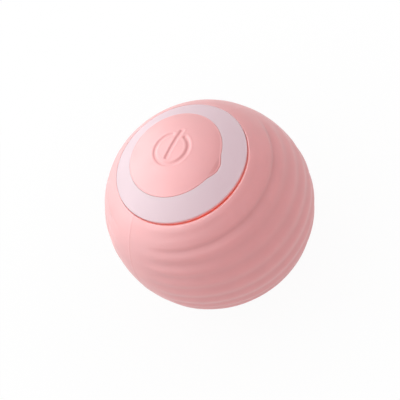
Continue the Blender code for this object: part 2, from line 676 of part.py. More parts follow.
def make_control_board(materials):
    """The round circuit board with its chips, sensor and the lamps under the light ring."""
    disc = cylinder(BOARD_RADIUS, BOARD_THICKNESS, SHELL_SIDES)
    board = add_object("control_board", disc, materials["board"], (0, 0, BOARD_BOTTOM_Z))
    depth = BOARD_THICKNESS + 2 * OVERRUN
    for side in (-1, 1):
        hole = cylinder(SCREW_HOLE_RADIUS, depth, SMALL_SIDES)
        place = board_screw_place(side, BOARD_BOTTOM_Z - OVERRUN)
        apply_guide(board, add_guide(f"board_hole_{side + 1}", hole, place))
    seat = USB_BOTTOM_Z
    chip_y = SWITCH_SIDE / 2 + CHIP_SPACING + CHIP_WIDTH / 2
    chip = block(CHIP_LENGTH, CHIP_WIDTH, CHIP_HEIGHT)
    add_object("control_chip", chip, materials["chip"], (0, chip_y, seat))
    charge_x = -(SWITCH_SIDE / 2 + CHIP_SPACING + CHARGE_CHIP_LENGTH / 2)
    charge_y = chip_y - CHIP_WIDTH / 2
    chip = block(CHARGE_CHIP_LENGTH, CHARGE_CHIP_WIDTH, CHARGE_CHIP_HEIGHT)
    add_object("charge_chip", chip, materials["chip"], (charge_x, charge_y, seat))
    make_vibration_sensor(materials["steel"], seat)
    for k in range(LED_COUNT):
        angle = FULL_TURN * (k + 0.5) / LED_COUNT
        place = (LED_CIRCLE * math.cos(angle), LED_CIRCLE * math.sin(angle), seat)
        add_object(f"led_{k + 1}", block(LED_WIDTH, LED_LENGTH, LED_HEIGHT), materials["lamp"], place, angle)


def make_vibration_sensor(material, seat):
    """A small metal can that lies along Y and wakes the ball when it is knocked."""
    sensor = add_object("vibration_sensor", cylinder(SENSOR_RADIUS, SENSOR_LENGTH, SMALL_SIDES), material)
    x = SWITCH_SIDE / 2 + 2 * CHIP_SPACING + SENSOR_RADIUS
    sensor.location = (x, CHIP_SPACING, seat + SENSOR_RADIUS)
    sensor.rotation_euler = (-math.pi / 2, 0, 0)


def screw(length):
    """A pan head screw that points up, with the underside of its head at height zero."""
    return turned([(0, -SCREW_HEAD_HEIGHT), (SCREW_HEAD_RADIUS, -SCREW_HEAD_HEIGHT), (SCREW_HEAD_RADIUS, 0),
                   (SCREW_RADIUS, 0), (SCREW_RADIUS, length), (0, length)], SMALL_SIDES)


def add_screw(name, length, location, material, head_up=False):
    item = add_object(name, screw(length), material, location)
    if head_up:
        item.rotation_euler = (math.pi, 0, 0)


def make_chassis(material):
    """The moulded frame that hangs in the upper shell: disc, motor cradle, gearbox posts and battery arms."""
    disc_radius = height_on_sphere(SHELL_INNER_RADIUS, CHASSIS_TOP_Z) - CHASSIS_EDGE_GAP
    chassis = add_object("chassis", cylinder(disc_radius, CHASSIS_THICKNESS, SHELL_SIDES), material,
                         (0, 0, CHASSIS_BOTTOM_Z))
    cradle_height = CHASSIS_BOTTOM_Z - MOTOR_FRONT_Z
    joined = cradle_height + CHASSIS_THICKNESS / 2
    cradle = prism(flatted_circle(CRADLE_RADIUS, CRADLE_FLAT), joined)
    apply_guide(chassis, add_guide("motor_cradle", cradle, (0, 0, MOTOR_FRONT_Z)), "UNION")
    for side in (-1, 1):
        post = cylinder(POST_RADIUS + CLEARANCE, joined, SMALL_SIDES)
        place = (0, side * POST_DISTANCE, MOTOR_FRONT_Z)
        apply_guide(chassis, add_guide(f"cradle_post_{side + 1}", post, place), "UNION")
        arm = block(ARM_THICKNESS, ARM_WIDTH, ARM_LENGTH + CHASSIS_THICKNESS / 2)
        place = (ARM_X, side * ARM_SPREAD / 2, CHASSIS_BOTTOM_Z - ARM_LENGTH)
        apply_guide(chassis, add_guide(f"battery_arm_{side + 1}", arm, place), "UNION")
        standoff = cylinder(STANDOFF_RADIUS, STANDOFF_HEIGHT + CHASSIS_THICKNESS / 2, SMALL_SIDES)
        place = board_screw_place(side, CHASSIS_TOP_Z - CHASSIS_THICKNESS / 2)
        apply_guide(chassis, add_guide(f"board_standoff_{side + 1}", standoff, place), "UNION")
    cut_chassis(chassis, cradle_height)


def cut_chassis(chassis, cradle_height):
    """The motor's pocket and the holes for screws, terminals and leads."""
    pocket = prism(flatted_circle(MOTOR_RADIUS + CLEARANCE, MOTOR_FLAT + CLEARANCE), cradle_height + OVERRUN)
    apply_guide(chassis, add_guide("motor_pocket", pocket, (0, 0, MOTOR_FRONT_Z - OVERRUN)))
    through = CHASSIS_THICKNESS + STANDOFF_HEIGHT + 2 * OVERRUN
    below = CHASSIS_BOTTOM_Z - OVERRUN
    for side in (-1, 1):
        hole = cylinder(TERMINAL_HOLE_RADIUS, through, SMALL_SIDES)
        place = (0, side * TERMINAL_SPREAD / 2, below)
        apply_guide(chassis, add_guide(f"terminal_hole_{side + 1}", hole, place))
        hole = cylinder(LEAD_HOLE_RADIUS, through, SMALL_SIDES)
        place = (BATTERY_X, side * LEAD_SPREAD / 2, below)
        apply_guide(chassis, add_guide(f"lead_hole_{side + 1}", hole, place))
        hole = cylinder(SCREW_HOLE_RADIUS, through, SMALL_SIDES)
        apply_guide(chassis, add_guide(f"standoff_hole_{side + 1}", hole, board_screw_place(side, below)))
        hole = cylinder(SCREW_HOLE_RADIUS, gearbox_screw_bite() + CLEARANCE + OVERRUN, SMALL_SIDES)
        place = (0, side * POST_DISTANCE, MOTOR_FRONT_Z - OVERRUN)
        apply_guide(chassis, add_guide(f"post_hole_{side + 1}", hole, place))
    for k in range(CHASSIS_SCREW_COUNT):
        hole = cylinder(SCREW_HOLE_RADIUS, through, SMALL_SIDES)
        apply_guide(chassis, add_guide(f"chassis_hole_{k + 1}", hole, chassis_screw_place(k, below)))
        recess = cylinder(SCREW_HEAD_RADIUS + CLEARANCE, OVERRUN + HEAD_RECESS, SMALL_SIDES)
        apply_guide(chassis, add_guide(f"head_recess_{k + 1}", recess, chassis_screw_place(k, below)))


def gearbox_screw_bite():
    """How far a gearbox screw reaches into the chassis post above the motor plate."""
    return OUTPUT_PLATE_BOTTOM_Z - CLEARANCE + GEARBOX_SCREW_LENGTH - MOTOR_FRONT_Z


def make_chassis_screws(material):
    head_seat = CHASSIS_BOTTOM_Z + HEAD_RECESS - CLEARANCE
    length = CHASSIS_TOP_Z + CLEARANCE - head_seat + CHASSIS_SCREW_BITE
    for k in range(CHASSIS_SCREW_COUNT):
        add_screw(f"chassis_screw_{k + 1}", length, chassis_screw_place(k, head_seat), material)
    for number, side in enumerate((1, -1), 1):
        seat = BOARD_TOP_Z + CLEARANCE
        length = seat - STANDOFF_TOP_Z + BOARD_SCREW_BITE
        add_screw(f"board_screw_{number}", length, board_screw_place(side, seat), material, head_up=True)


def make_motor(steel, plastic):
    """A small flat-sided direct current motor that points down."""
    can_outline = flatted_circle(MOTOR_RADIUS, MOTOR_FLAT)
    can = add_object("motor_can", prism(can_outline, MOTOR_CAN_LENGTH), steel, (0, 0, MOTOR_FRONT_Z))
    boss = cylinder(MOTOR_BOSS_RADIUS, MOTOR_BOSS_HEIGHT + OVERRUN)
    place = (0, 0, MOTOR_FRONT_Z - MOTOR_BOSS_HEIGHT)
    apply_guide(can, add_guide("motor_boss", boss, place), "UNION")
    depth = MOTOR_SHAFT_DEPTH + MOTOR_BOSS_HEIGHT + CLEARANCE + OVERRUN
    bore = cylinder(MOTOR_SHAFT_RADIUS + RUNNING_CLEARANCE, depth, SMALL_SIDES)
    apply_guide(can, add_guide("motor_bore", bore, (0, 0, place[2] - OVERRUN)))
    plate = prism(can_outline, MOTOR_CAP_LENGTH)
    cap = add_object("motor_end_cap", plate, plastic, (0, 0, MOTOR_CAP_BOTTOM_Z))
    terminal_height = BOARD_BOTTOM_Z - CLEARANCE - MOTOR_TOP_Z
    for side in (-1, 1):
        terminal = block(TERMINAL_WIDTH, TERMINAL_THICKNESS, terminal_height + MOTOR_CAP_LENGTH / 2)
        place = (0, side * TERMINAL_SPREAD / 2, MOTOR_TOP_Z - MOTOR_CAP_LENGTH / 2)
        apply_guide(cap, add_guide(f"motor_terminal_{side + 1}", terminal, place), "UNION")


def make_battery(foil, lead_materials):
    """A small pouch cell on its long edge beside the motor, with its two leads up to the board."""
    bottom = MOTOR_PLATE_TOP_Z + CLEARANCE
    top = CHASSIS_BOTTOM_Z - BATTERY_HEADROOM
    add_object("battery", rounded_block(BATTERY_THICKNESS, BATTERY_WIDTH, top - bottom, BATTERY_ROUND), foil,
               (BATTERY_X, 0, bottom))
    lead_bottom = top + CLEARANCE
    lead_length = BOARD_BOTTOM_Z - CLEARANCE - lead_bottom
    for name, side in (("battery_lead_red", 1), ("battery_lead_black", -1)):
        add_object(name, cylinder(LEAD_RADIUS, lead_length, SMALL_SIDES), lead_materials[name],
                   (BATTERY_X, side * LEAD_SPREAD / 2, lead_bottom))


def gear_outline(teeth):
    """Straight-sided teeth on a pitch circle, thin enough to turn freely, with one tooth along +X."""
    pitch_radius = GEAR_MODULE * teeth / 2
    root = pitch_radius - GEAR_MODULE * DEDENDUM_SHARE
    tip = pitch_radius + GEAR_MODULE * ADDENDUM_SHARE
    outline = []
    for k in range(teeth):
        middle = FULL_TURN * k / teeth
        for radius, width_share, side in ((root, TOOTH_ROOT_SHARE, -1), (tip, TOOTH_TIP_SHARE, -1),
                                          (tip, TOOTH_TIP_SHARE, 1), (root, TOOTH_ROOT_SHARE, 1)):
            angle = middle + side * width_share * GEAR_MODULE / 2 / radius
            outline.append((radius * math.cos(angle), radius * math.sin(angle)))
    return outline


def add_gear(name, teeth, bore, location, turn, material, parent):
    gear = add_object(name, prism(gear_outline(teeth), GEAR_WIDTH), material, location, turn, parent)
    hole = cylinder(bore, GEAR_WIDTH + 2 * OVERRUN, SMALL_SIDES)
    apply_guide(gear, add_guide(name + "_bore", hole, (0, 0, -OVERRUN), parent=gear))
    return gear


def add_compound_gear(name, wheel_layer, wheel_turn, pinion_turn, material, parent):
    """A wheel with the pinion of the next stage moulded under it, on one bore."""
    wheel_z = LAYER_Z[wheel_layer]
    wheel = prism(gear_outline(WHEEL_TEETH), GEAR_WIDTH)
    gear = add_object(name, wheel, material, (0, 0, wheel_z), wheel_turn, parent)
    pinion = prism(gear_outline(PINION_TEETH), LAYER_PITCH + GEAR_WIDTH / 2)
    pinion_guide = add_guide(name + "_pinion", pinion, (0, 0, -LAYER_PITCH), pinion_turn - wheel_turn, gear)
    apply_guide(gear, pinion_guide, "UNION")
    hole = cylinder(PIN_BORE, LAYER_PITCH + GEAR_WIDTH + 2 * OVERRUN, SMALL_SIDES)
    apply_guide(gear, add_guide(name + "_bore", hole, (0, 0, -LAYER_PITCH - OVERRUN), parent=gear))


def make_gear_train(materials):
    """Motor pinion, three compound gears and output gear, in mesh, with the pin and shafts they run on."""
    centre = add_empty("weight_axis", (0, 0, 0))
    side = add_empty("side_axis", (CENTRE_DISTANCE, 0, 0))
    shaft_length = MOTOR_FRONT_Z + MOTOR_SHAFT_DEPTH - LAYER_Z[0]
    add_object("motor_shaft", cylinder(MOTOR_SHAFT_RADIUS, shaft_length, SMALL_SIDES), materials["steel"],
               (0, 0, LAYER_Z[0]), parent=centre)
    add_gear("motor_pinion", PINION_TEETH, MOTOR_SHAFT_RADIUS + RUNNING_CLEARANCE, (0, 0, LAYER_Z[0]), 0,
             materials["brass"], centre)
    add_compound_gear("gear_1", 0, HALF_WHEEL_TOOTH, HALF_PINION_TOOTH, materials["gear"], side)
    add_compound_gear("gear_2", 1, 0, 0, materials["gear"], centre)
    add_compound_gear("gear_3", 2, HALF_WHEEL_TOOTH, HALF_PINION_TOOTH, materials["gear"], side)
    add_gear("output_gear", WHEEL_TEETH, SHAFT_BORE, (0, 0, LAYER_Z[3]), 0, materials["gear"], centre)
    spindle_foot = LAYER_Z[3] + GEAR_WIDTH + LAYER_GAP / 2
    spindle_top = LAYER_Z[0] - CLEARANCE
    outline = [(0, SHAFT_END_Z), (SHAFT_RADIUS, SHAFT_END_Z), (SHAFT_RADIUS, spindle_foot),
               (PIN_RADIUS, spindle_foot), (PIN_RADIUS, spindle_top), (0, spindle_top)]
    add_object("output_shaft", turned(outline, ROUND_SIDES), materials["steel"], parent=centre)
    pin = cylinder(PIN_RADIUS, MOTOR_PLATE_TOP_Z - OUTPUT_PLATE_BOTTOM_Z, SMALL_SIDES)
    add_object("side_pin", pin, materials["steel"], (CENTRE_DISTANCE, 0, OUTPUT_PLATE_BOTTOM_Z))


def plate_outline():
    """The tight outline round the two posts, the side pin and a short tail."""
    shape = bmesh.new()
    for x, y in ((0, POST_DISTANCE), (0, -POST_DISTANCE), (CENTRE_DISTANCE, 0), (-PLATE_TAIL, 0)):
        for k in range(ROUND_SIDES):
            angle = FULL_TURN * k / ROUND_SIDES
            across, up = PLATE_LOBE_RADIUS * math.cos(angle), PLATE_LOBE_RADIUS * math.sin(angle)
            shape.verts.new((x + across, y + up, 0))
    hull = bmesh.ops.convex_hull(shape, input=shape.verts)
    corners = {v for v in hull["geom"] if isinstance(v, bmesh.types.BMVert)}
    outline = sorted(((v.co.x, v.co.y) for v in corners), key=lambda p: math.atan2(p[1], p[0]))
    shape.free()
    return outline


def add_plate(name, bottom, centre_hole, material):
    plate = add_object(name, prism(plate_outline(), PLATE_THICKNESS), material, (0, 0, bottom))
    depth = PLATE_THICKNESS + 2 * OVERRUN
    below = bottom - OVERRUN
    apply_guide(plate, add_guide(name + "_centre_hole", cylinder(centre_hole, depth), (0, 0, below)))
    pin_hole = cylinder(PIN_BORE, depth, SMALL_SIDES)
    apply_guide(plate, add_guide(name + "_pin_hole", pin_hole, (CENTRE_DISTANCE, 0, below)))
    for side in (-1, 1):
        hole = cylinder(SCREW_HOLE_RADIUS, depth, SMALL_SIDES)
        place = (0, side * POST_DISTANCE, below)
        apply_guide(plate, add_guide(f"{name}_post_hole_{side + 1}", hole, place))


def make_gearbox(materials):
    """The two plates, the posts that space them, the screws through them and the output bush."""
    add_plate("motor_plate", MOTOR_PLATE_BOTTOM_Z, MOTOR_BOSS_RADIUS + CLEARANCE, materials["brass"])
    add_plate("output_plate", OUTPUT_PLATE_BOTTOM_Z, BUSH_RADIUS + CLEARANCE, materials["brass"])
    post_bottom = OUTPUT_PLATE_TOP_Z + CLEARANCE
    post_length = MOTOR_PLATE_BOTTOM_Z - CLEARANCE - post_bottom
    for number, side in enumerate((1, -1), 1):
        add_object(f"gearbox_post_{number}", tube(POST_RADIUS, SCREW_HOLE_RADIUS, post_length, SMALL_SIDES),
                   materials["brass"], (0, side * POST_DISTANCE, post_bottom))
        add_screw(f"gearbox_screw_{number}", GEARBOX_SCREW_LENGTH,
                  (0, side * POST_DISTANCE, OUTPUT_PLATE_BOTTOM_Z - CLEARANCE), materials["steel"])
    flange_radius = BUSH_RADIUS + BUSH_FLANGE_WIDTH
    outline = [(SHAFT_BORE, BUSH_BOTTOM_Z), (flange_radius, BUSH_BOTTOM_Z),
               (flange_radius, BUSH_FLANGE_TOP_Z), (BUSH_RADIUS, BUSH_FLANGE_TOP_Z),
               (BUSH_RADIUS, OUTPUT_PLATE_TOP_Z), (SHAFT_BORE, OUTPUT_PLATE_TOP_Z)]
    add_object("output_bush", turned(outline, ROUND_SIDES), materials["brass"])


def make_eccentric_weight(material):
    """A half bowl of cast metal that swings round the core, with a floor that reaches in to its hub."""
    top = CHASSIS_BOTTOM_Z - WEIGHT_TOP_GAP
    slope_top = LAYER_Z[2] - WEIGHT_RUNNING_GAP
    inside_hub = (WEIGHT_HUB_RADIUS + SHAFT_BORE) / 2
    low = math.asin(WEIGHT_BOTTOM_Z / WEIGHT_RADIUS)
    high = math.asin(top / WEIGHT_RADIUS)
    angles = [low + (high - low) * k / WEIGHT_ROWS for k in range(WEIGHT_ROWS + 1)]
    profile = [(WEIGHT_RADIUS * math.cos(a), WEIGHT_RADIUS * math.sin(a)) for a in angles]
    profile += [(WEIGHT_BORE, top), (WEIGHT_BORE, slope_top), (WEIGHT_FLOOR_RADIUS, WEIGHT_FLOOR_TOP_Z),
                (inside_hub, WEIGHT_FLOOR_TOP_Z), (inside_hub, WEIGHT_BOTTOM_Z)]
    start = math.pi - WEIGHT_SPAN / 2
    axis = bpy.data.objects["weight_axis"]
    bowl = turned(profile, WEIGHT_STEPS, WEIGHT_SPAN, start)
    weight = add_object("eccentric_weight", bowl, material, parent=axis)
    hub = tube(WEIGHT_HUB_RADIUS, SHAFT_BORE, WEIGHT_FLOOR_THICKNESS)
    apply_guide(weight, add_guide("weight_hub", hub, (0, 0, WEIGHT_BOTTOM_Z), parent=axis), "UNION")


def make_shaft_clip(material):
    """The open spring clip that keeps the weight on the shaft."""
    outline = [(SHAFT_BORE, 0), (CLIP_RADIUS, 0), (CLIP_RADIUS, CLIP_THICKNESS), (SHAFT_BORE, CLIP_THICKNESS)]
    clip = turned(outline, ROUND_SIDES, CLIP_SPAN, -CLIP_SPAN / 2)
    add_object("shaft_clip", clip, material, (0, 0, CLIP_BOTTOM_Z), parent=bpy.data.objects["weight_axis"])


def main():
    clear_scene()
    silicone = finish("silicone_pink", (0.76, 0.40, 0.40), 0.55)
    milky = finish("milky_plastic", (0.80, 0.72, 0.77), 0.35)
    white = finish("white_abs", (0.78, 0.78, 0.76), 0.45)
    materials = {
        "board": finish("board_green", (0.02, 0.16, 0.06), 0.5),
        "chip": finish("chip_black", (0.02, 0.02, 0.02), 0.5),
        "lamp": finish("lamp_yellow", (0.80, 0.72, 0.35), 0.3),
        "steel": finish("steel", (0.55, 0.56, 0.58), 0.3, 1.0),
        "brass": finish("brass", (0.70, 0.50, 0.20), 0.35, 1.0),
        "gear": finish("acetal_white", (0.75, 0.75, 0.72), 0.4),
    }
    black = finish("black_plastic", (0.03, 0.03, 0.03), 0.45)
    zinc = finish("cast_zinc", (0.40, 0.41, 0.43), 0.5, 1.0)
    foil = finish("cell_foil", (0.50, 0.52, 0.56), 0.3, 0.8)
    lead_materials = {
        "battery_lead_red": finish("lead_red", (0.50, 0.02, 0.02), 0.5),
        "battery_lead_black": finish("lead_black", (0.02, 0.02, 0.02), 0.5),
    }
    make_silicone_sleeve(silicone)
    make_upper_shell(white)
    make_lower_shell(white)
    make_light_ring(milky)
    hinge = add_empty("cap_hinge", (-CAP_RADIUS, 0, CAP_RIM_Z))
    make_button_cap(silicone, hinge)
    make_cap_tether(silicone, hinge)
    make_cap_anchor(silicone)
    make_port_deck(white)
    make_usb_port(materials["steel"], black)
    make_switch(black, white)
    make_control_board(materials)
    make_chassis(white)
    make_chassis_screws(materials["steel"])
    make_motor(materials["steel"], black)
    make_battery(foil, lead_materials)
    make_gear_train(materials)
    make_gearbox(materials)
    make_eccentric_weight(zinc)
    make_shaft_clip(materials["steel"])


main()
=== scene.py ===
"""Dresses the self rolling cat ball for its photograph: skin, button, light ring, working parts, light and camera.

Metres. The origin is the ball's centre, +Z runs out through the button and +Y points to the top of its symbol.
"""

import json
import math

import bmesh
import bpy
from mathutils import Matrix, Vector


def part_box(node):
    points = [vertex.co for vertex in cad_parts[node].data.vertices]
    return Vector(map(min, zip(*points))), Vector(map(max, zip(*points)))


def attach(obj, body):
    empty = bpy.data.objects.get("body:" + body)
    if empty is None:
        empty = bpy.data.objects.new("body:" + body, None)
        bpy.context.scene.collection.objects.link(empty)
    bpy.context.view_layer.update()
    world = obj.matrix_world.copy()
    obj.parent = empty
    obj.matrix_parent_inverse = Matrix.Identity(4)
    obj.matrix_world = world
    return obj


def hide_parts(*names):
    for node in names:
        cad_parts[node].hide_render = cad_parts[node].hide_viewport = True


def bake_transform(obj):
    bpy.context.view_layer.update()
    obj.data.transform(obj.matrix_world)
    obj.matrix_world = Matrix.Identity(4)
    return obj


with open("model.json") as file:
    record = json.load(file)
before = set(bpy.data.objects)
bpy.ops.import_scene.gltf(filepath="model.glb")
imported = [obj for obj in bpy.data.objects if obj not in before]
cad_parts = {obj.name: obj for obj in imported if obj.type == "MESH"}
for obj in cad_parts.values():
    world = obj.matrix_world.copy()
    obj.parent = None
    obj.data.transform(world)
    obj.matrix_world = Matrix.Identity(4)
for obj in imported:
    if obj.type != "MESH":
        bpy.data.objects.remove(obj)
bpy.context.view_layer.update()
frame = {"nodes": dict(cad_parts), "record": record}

bl_info = {
    "name": "Self rolling cat ball",
    "version": (1, 0, 0),
    "blender": (4, 5, 0),
    "location": "3D View > Sidebar > Cat ball",
    "description": "Builds the visible parts of a motorised cat ball in a ridged silicone sleeve",
    "category": "Add Mesh",
}

MM = 0.001
FULL_TURN = 2 * math.pi

# Sizes of the solid model, but for the seams beside the ring and the cap, which the photograph gives
BALL_RADIUS = -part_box("silicone_sleeve")[0].z
FACE_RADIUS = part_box("button_cap")[1].z
SLEEVE_INNER_RADIUS = BALL_RADIUS - 1.8 * MM
LIP_REACH = 13.775 * MM
WEB_REACH = 13.765 * MM
RING_REACH = 13.75 * MM
RING_BORE = 9.72 * MM
RING_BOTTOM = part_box("light_ring")[0].z
LEDGE_REACH = RING_BORE - 0.85 * MM
LEDGE_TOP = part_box("port_deck")[0].z - 0.3 * MM
LEDGE_BOTTOM = LEDGE_TOP - 0.6 * MM
SKIRT_REACH = 11.7 * MM
SKIRT_BORE = 10.2 * MM
CAP_REACH = 9.69 * MM
CAP_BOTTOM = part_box("button_cap")[0].z
CAP_SKIRT_BORE = 8.2 * MM
CAP_INNER_RADIUS = FACE_RADIUS - 1.3 * MM
PIP_REACH = 1.6 * MM
PIP_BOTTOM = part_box("switch_plunger")[1].z + 0.3 * MM

# The soft sleeve sits a little off centre: its lip stands open on this side and lies on the ring opposite
OPEN_SIDE = math.radians(-34.5)
OPEN_EDGE = math.cos(math.radians(95))
DIP_WIDTH = 1.4 * MM

# How far a cutter runs past the faces that it opens, and the play between moulded pieces
OVERSHOOT = 1 * MM
PLAY = 0.3 * MM


# ---------------------------------------------------------------- helpers

def linear(hex_code):
    """An sRGB hex colour such as #E8AEAD as the linear colour that Blender works in."""
    parts = [int(hex_code[i:i + 2], 16) / 255 for i in (1, 3, 5)]
    return tuple(p / 12.92 if p <= 0.04045 else ((p + 0.055) / 1.055) ** 2.4 for p in parts)


def add_node(tree, kind, settings=None, links=None):
    """Adds one node. A link is a value, an output socket, a node whose first output is meant, or a list."""
    item = tree.nodes.new(kind)
    for name, value in (settings or {}).items():
        setattr(item, name, value)
    for key, value in (links or {}).items():
        for source in value if isinstance(value, list) else [value]:
            if isinstance(source, bpy.types.Node):
                source = source.outputs[0]
            if isinstance(source, bpy.types.NodeSocket):
                tree.links.new(source, item.inputs[key])
            else:
                item.inputs[key].default_value = source
    return item


def calc(tree, operation, *values):
    """One step of arithmetic on numbers."""
    return add_node(tree, "ShaderNodeMath", {"operation": operation}, dict(enumerate(values)))


def vector_calc(tree, operation, *values):
    """One step of arithmetic on vectors."""
    return add_node(tree, "ShaderNodeVectorMath", {"operation": operation}, dict(enumerate(values)))


def scaled(tree, vector, factor):
    """A vector or colour times a number."""
    return add_node(tree, "ShaderNodeVectorMath", {"operation": "SCALE"}, {0: vector, "Scale": factor})


def ramp(tree, value, low, high, to_low=0.0, to_high=1.0, kind="LINEAR"):
    """Maps one span of a number onto another, and holds it at both ends."""
    return add_node(tree, "ShaderNodeMapRange", {"interpolation_type": kind},
                    {0: value, 1: low, 2: high, 3: to_low, 4: to_high})


def soft_ramp(*span):
    """A ramp that eases in and out."""
    return ramp(*span, kind="SMOOTHSTEP")


def drift(tree, cloud, low, high):
    """Spreads a noise's usual range between two values."""
    return ramp(tree, cloud, 0.3, 0.7, low, high)


def noise(tree, where, size, detail):
    return add_node(tree, "ShaderNodeTexNoise", links={"Vector": where, "Scale": 1 / size, "Detail": detail})


def bumped(tree, height, strength, distance):
    return add_node(tree, "ShaderNodeBump", links={"Height": height, "Strength": strength, "Distance": distance})


def attribute(tree, name):
    """A number that the mesh carries at each of its corners."""
    return add_node(tree, "ShaderNodeAttribute", {"attribute_name": name}).outputs["Fac"]


def mixed_colour(tree, share, colour, other):
    return add_node(tree, "ShaderNodeMix", {"data_type": "RGBA"}, {"Factor": share, 6: colour, 7: other}).outputs[2]


def make_vector(tree, **parts):
    return add_node(tree, "ShaderNodeCombineXYZ", links=parts)


def transformed(tree, geometry, **change):
    return add_node(tree, "GeometryNodeTransform", links={"Geometry": geometry, **change})


def height_on_sphere(radius, reach):
    """How high a sphere about the origin stands at a distance from the Z axis."""
    return math.sqrt(radius * radius - reach * reach)


def sphere_arc(radius, from_reach, to_reach, steps):
    """Points of (distance from Z, height) along the upper half of a sphere, both ends included."""
    first, last = math.asin(from_reach / radius), math.asin(to_reach / radius)
    angles = [first + (last - first) * k / steps for k in range(steps + 1)]
    return [(radius * math.sin(a), radius * math.cos(a)) for a in angles]


def openness(angle):
    """From 0 where the sleeve's lip lies against the ring to 1 where it stands open."""
    return max(0.0, (math.cos(angle - OPEN_SIDE) - OPEN_EDGE) / (1 - OPEN_EDGE))


def ease(share):
    """A share eased in and out, and held between 0 and 1."""
    share = min(max(share, 0.0), 1.0)
    return share * share * (3 - 2 * share)


def quarter(x, z, wide, high, steps, first=0):
    """Points of a quarter round about (x, z), from over or under it round to beside it."""
    angles = [math.pi / 2 * k / steps for k in range(first, steps + 1)]
    return [(x + wide * math.sin(a), z + high * math.cos(a)) for a in angles]


def rounded(corners, steps=5):
    """A closed outline whose corners, each (x, y, radius), are rounded where the radius isn't zero."""
    outline = []
    count = len(corners)
    for k, (x, y, radius) in enumerate(corners):
        if not radius:
            outline.append((x, y))
            continue
        here = Vector((x, y))
        before = (Vector(corners[k - 1][:2]) - here)
        after = (Vector(corners[(k + 1) % count][:2]) - here)
        half = before.angle(after) / 2
        start = here + before.normalized() * (radius / math.tan(half))
        centre = here + (before.normalized() + after.normalized()).normalized() * (radius / math.sin(half))
        arm = start - centre
        turn = math.pi - 2 * half
        side = 1 if before.x * after.y - before.y * after.x < 0 else -1
        for step in range(steps + 1):
            angle = side * turn * step / steps
            swung = Matrix.Rotation(angle, 2) @ arm
            outline.append(tuple(centre + swung))
    return outline


def new_object(name, data):
    """An object of the scene, at the origin."""
    item = bpy.data.objects.new(name, data)
    bpy.context.collection.objects.link(item)
    return item


def finish_mesh(name, shape, sharp_degrees=40):
    """Turns a closed bmesh into an object with outward faces, smooth but for its sharp corners."""
    bmesh.ops.remove_doubles(shape, verts=shape.verts, dist=1e-7)
    bmesh.ops.recalc_face_normals(shape, faces=shape.faces)
    mesh = bpy.data.meshes.new(name)
    shape.to_mesh(mesh)
    shape.free()
    mesh.shade_smooth()
    mesh.set_sharp_from_angle(angle=math.radians(sharp_degrees))
    return new_object(name, mesh)


def sweep(outline_at, angles, closed=True):
    """Joins closed outlines of (distance from Z, height) points, taken at each angle about the Z axis."""
    shape = bmesh.new()
    on_axis = {i: shape.verts.new((0, 0, z)) for i, (r, z) in enumerate(outline_at(angles[0])) if r == 0}
    rings = []
    for angle in angles:
        c, s = math.cos(angle), math.sin(angle)
        rings.append([on_axis.get(i) or shape.verts.new((r * c, r * s, z))
                      for i, (r, z) in enumerate(outline_at(angle))])
    for k in range(len(rings) if closed else len(rings) - 1):
        here, there = rings[k], rings[(k + 1) % len(rings)]
        for i in range(len(here)):
            j = (i + 1) % len(here)
            corners = list(dict.fromkeys([here[i], there[i], there[j], here[j]]))
            if len(corners) > 2:
                shape.faces.new(corners)
    if not closed:
        shape.faces.new(rings[0])
        shape.faces.new(rings[-1])
    return shape


def turns(count):
    """Even steps of angle round a full turn."""
    return [FULL_TURN * k / count for k in range(count)]


def loft(rings):
    """Joins rings of points that have the same count, and closes both ends."""
    shape = bmesh.new()
    loops = [[shape.verts.new(point) for point in ring] for ring in rings]
    for here, there in zip(loops, loops[1:]):
        for i in range(len(here)):
            j = (i + 1) % len(here)
            shape.faces.new([here[i], here[j], there[j], there[i]])
    shape.faces.new(loops[0])
    shape.faces.new(loops[-1])
    return shape


def prism(name, outline, bottom, top, sharp_degrees=30):
    """An upright block with one outline, for adding or for cutting."""
    rings = [[(x, y, z) for x, y in outline] for z in (bottom, top)]
    return finish_mesh(name, loft(rings), sharp_degrees)


def bake(item):
    """Swaps an object for one whose mesh has the modifiers' result, with none of them left."""
    bpy.context.view_layer.update()
    result = item.evaluated_get(bpy.context.evaluated_depsgraph_get())
    mesh = bpy.data.meshes.new_from_object(result, preserve_all_data_layers=True,
                                           depsgraph=bpy.context.evaluated_depsgraph_get())
    item.modifiers.clear()
    old = item.data
    item.data = mesh
    mesh.name = item.name
    bpy.data.meshes.remove(old)


def cut(item, tool, operation="DIFFERENCE"):
    """Cuts or adds one shape for good, and deletes the tool."""
    step = item.modifiers.new("cut", "BOOLEAN")
    step.operation = operation
    step.solver = "EXACT"
    step.object = tool
    bake(item)
    bpy.data.objects.remove(tool, do_unlink=True)


def run_tree(item, tree, values):
    """Runs a Geometry Nodes tree on an object with its named inputs, and keeps the plain mesh."""
    step = item.modifiers.new(tree.name, "NODES")
    step.node_group = tree
    for socket in tree.interface.items_tree:
        if socket.item_type == "SOCKET" and socket.name in values:
            step[socket.identifier] = values[socket.name]
    bake(item)
    bpy.data.node_groups.remove(tree)
    return item


SOCKET_KINDS = {float: "NodeSocketFloat", int: "NodeSocketInt", tuple: "NodeSocketVector"}


def new_tree(name, values):
    """An empty Geometry Nodes tree with geometry in and out, and an input for each named value."""
    tree = bpy.data.node_groups.new(name, "GeometryNodeTree")
    tree.is_modifier = True
    tree.interface.new_socket("Geometry", in_out="INPUT", socket_type="NodeSocketGeometry")
    tree.interface.new_socket("Geometry", in_out="OUTPUT", socket_type="NodeSocketGeometry")
    for label, value in values.items():
        tree.interface.new_socket(label, in_out="INPUT", socket_type=SOCKET_KINDS[type(value)])
    return tree, add_node(tree, "NodeGroupInput").outputs


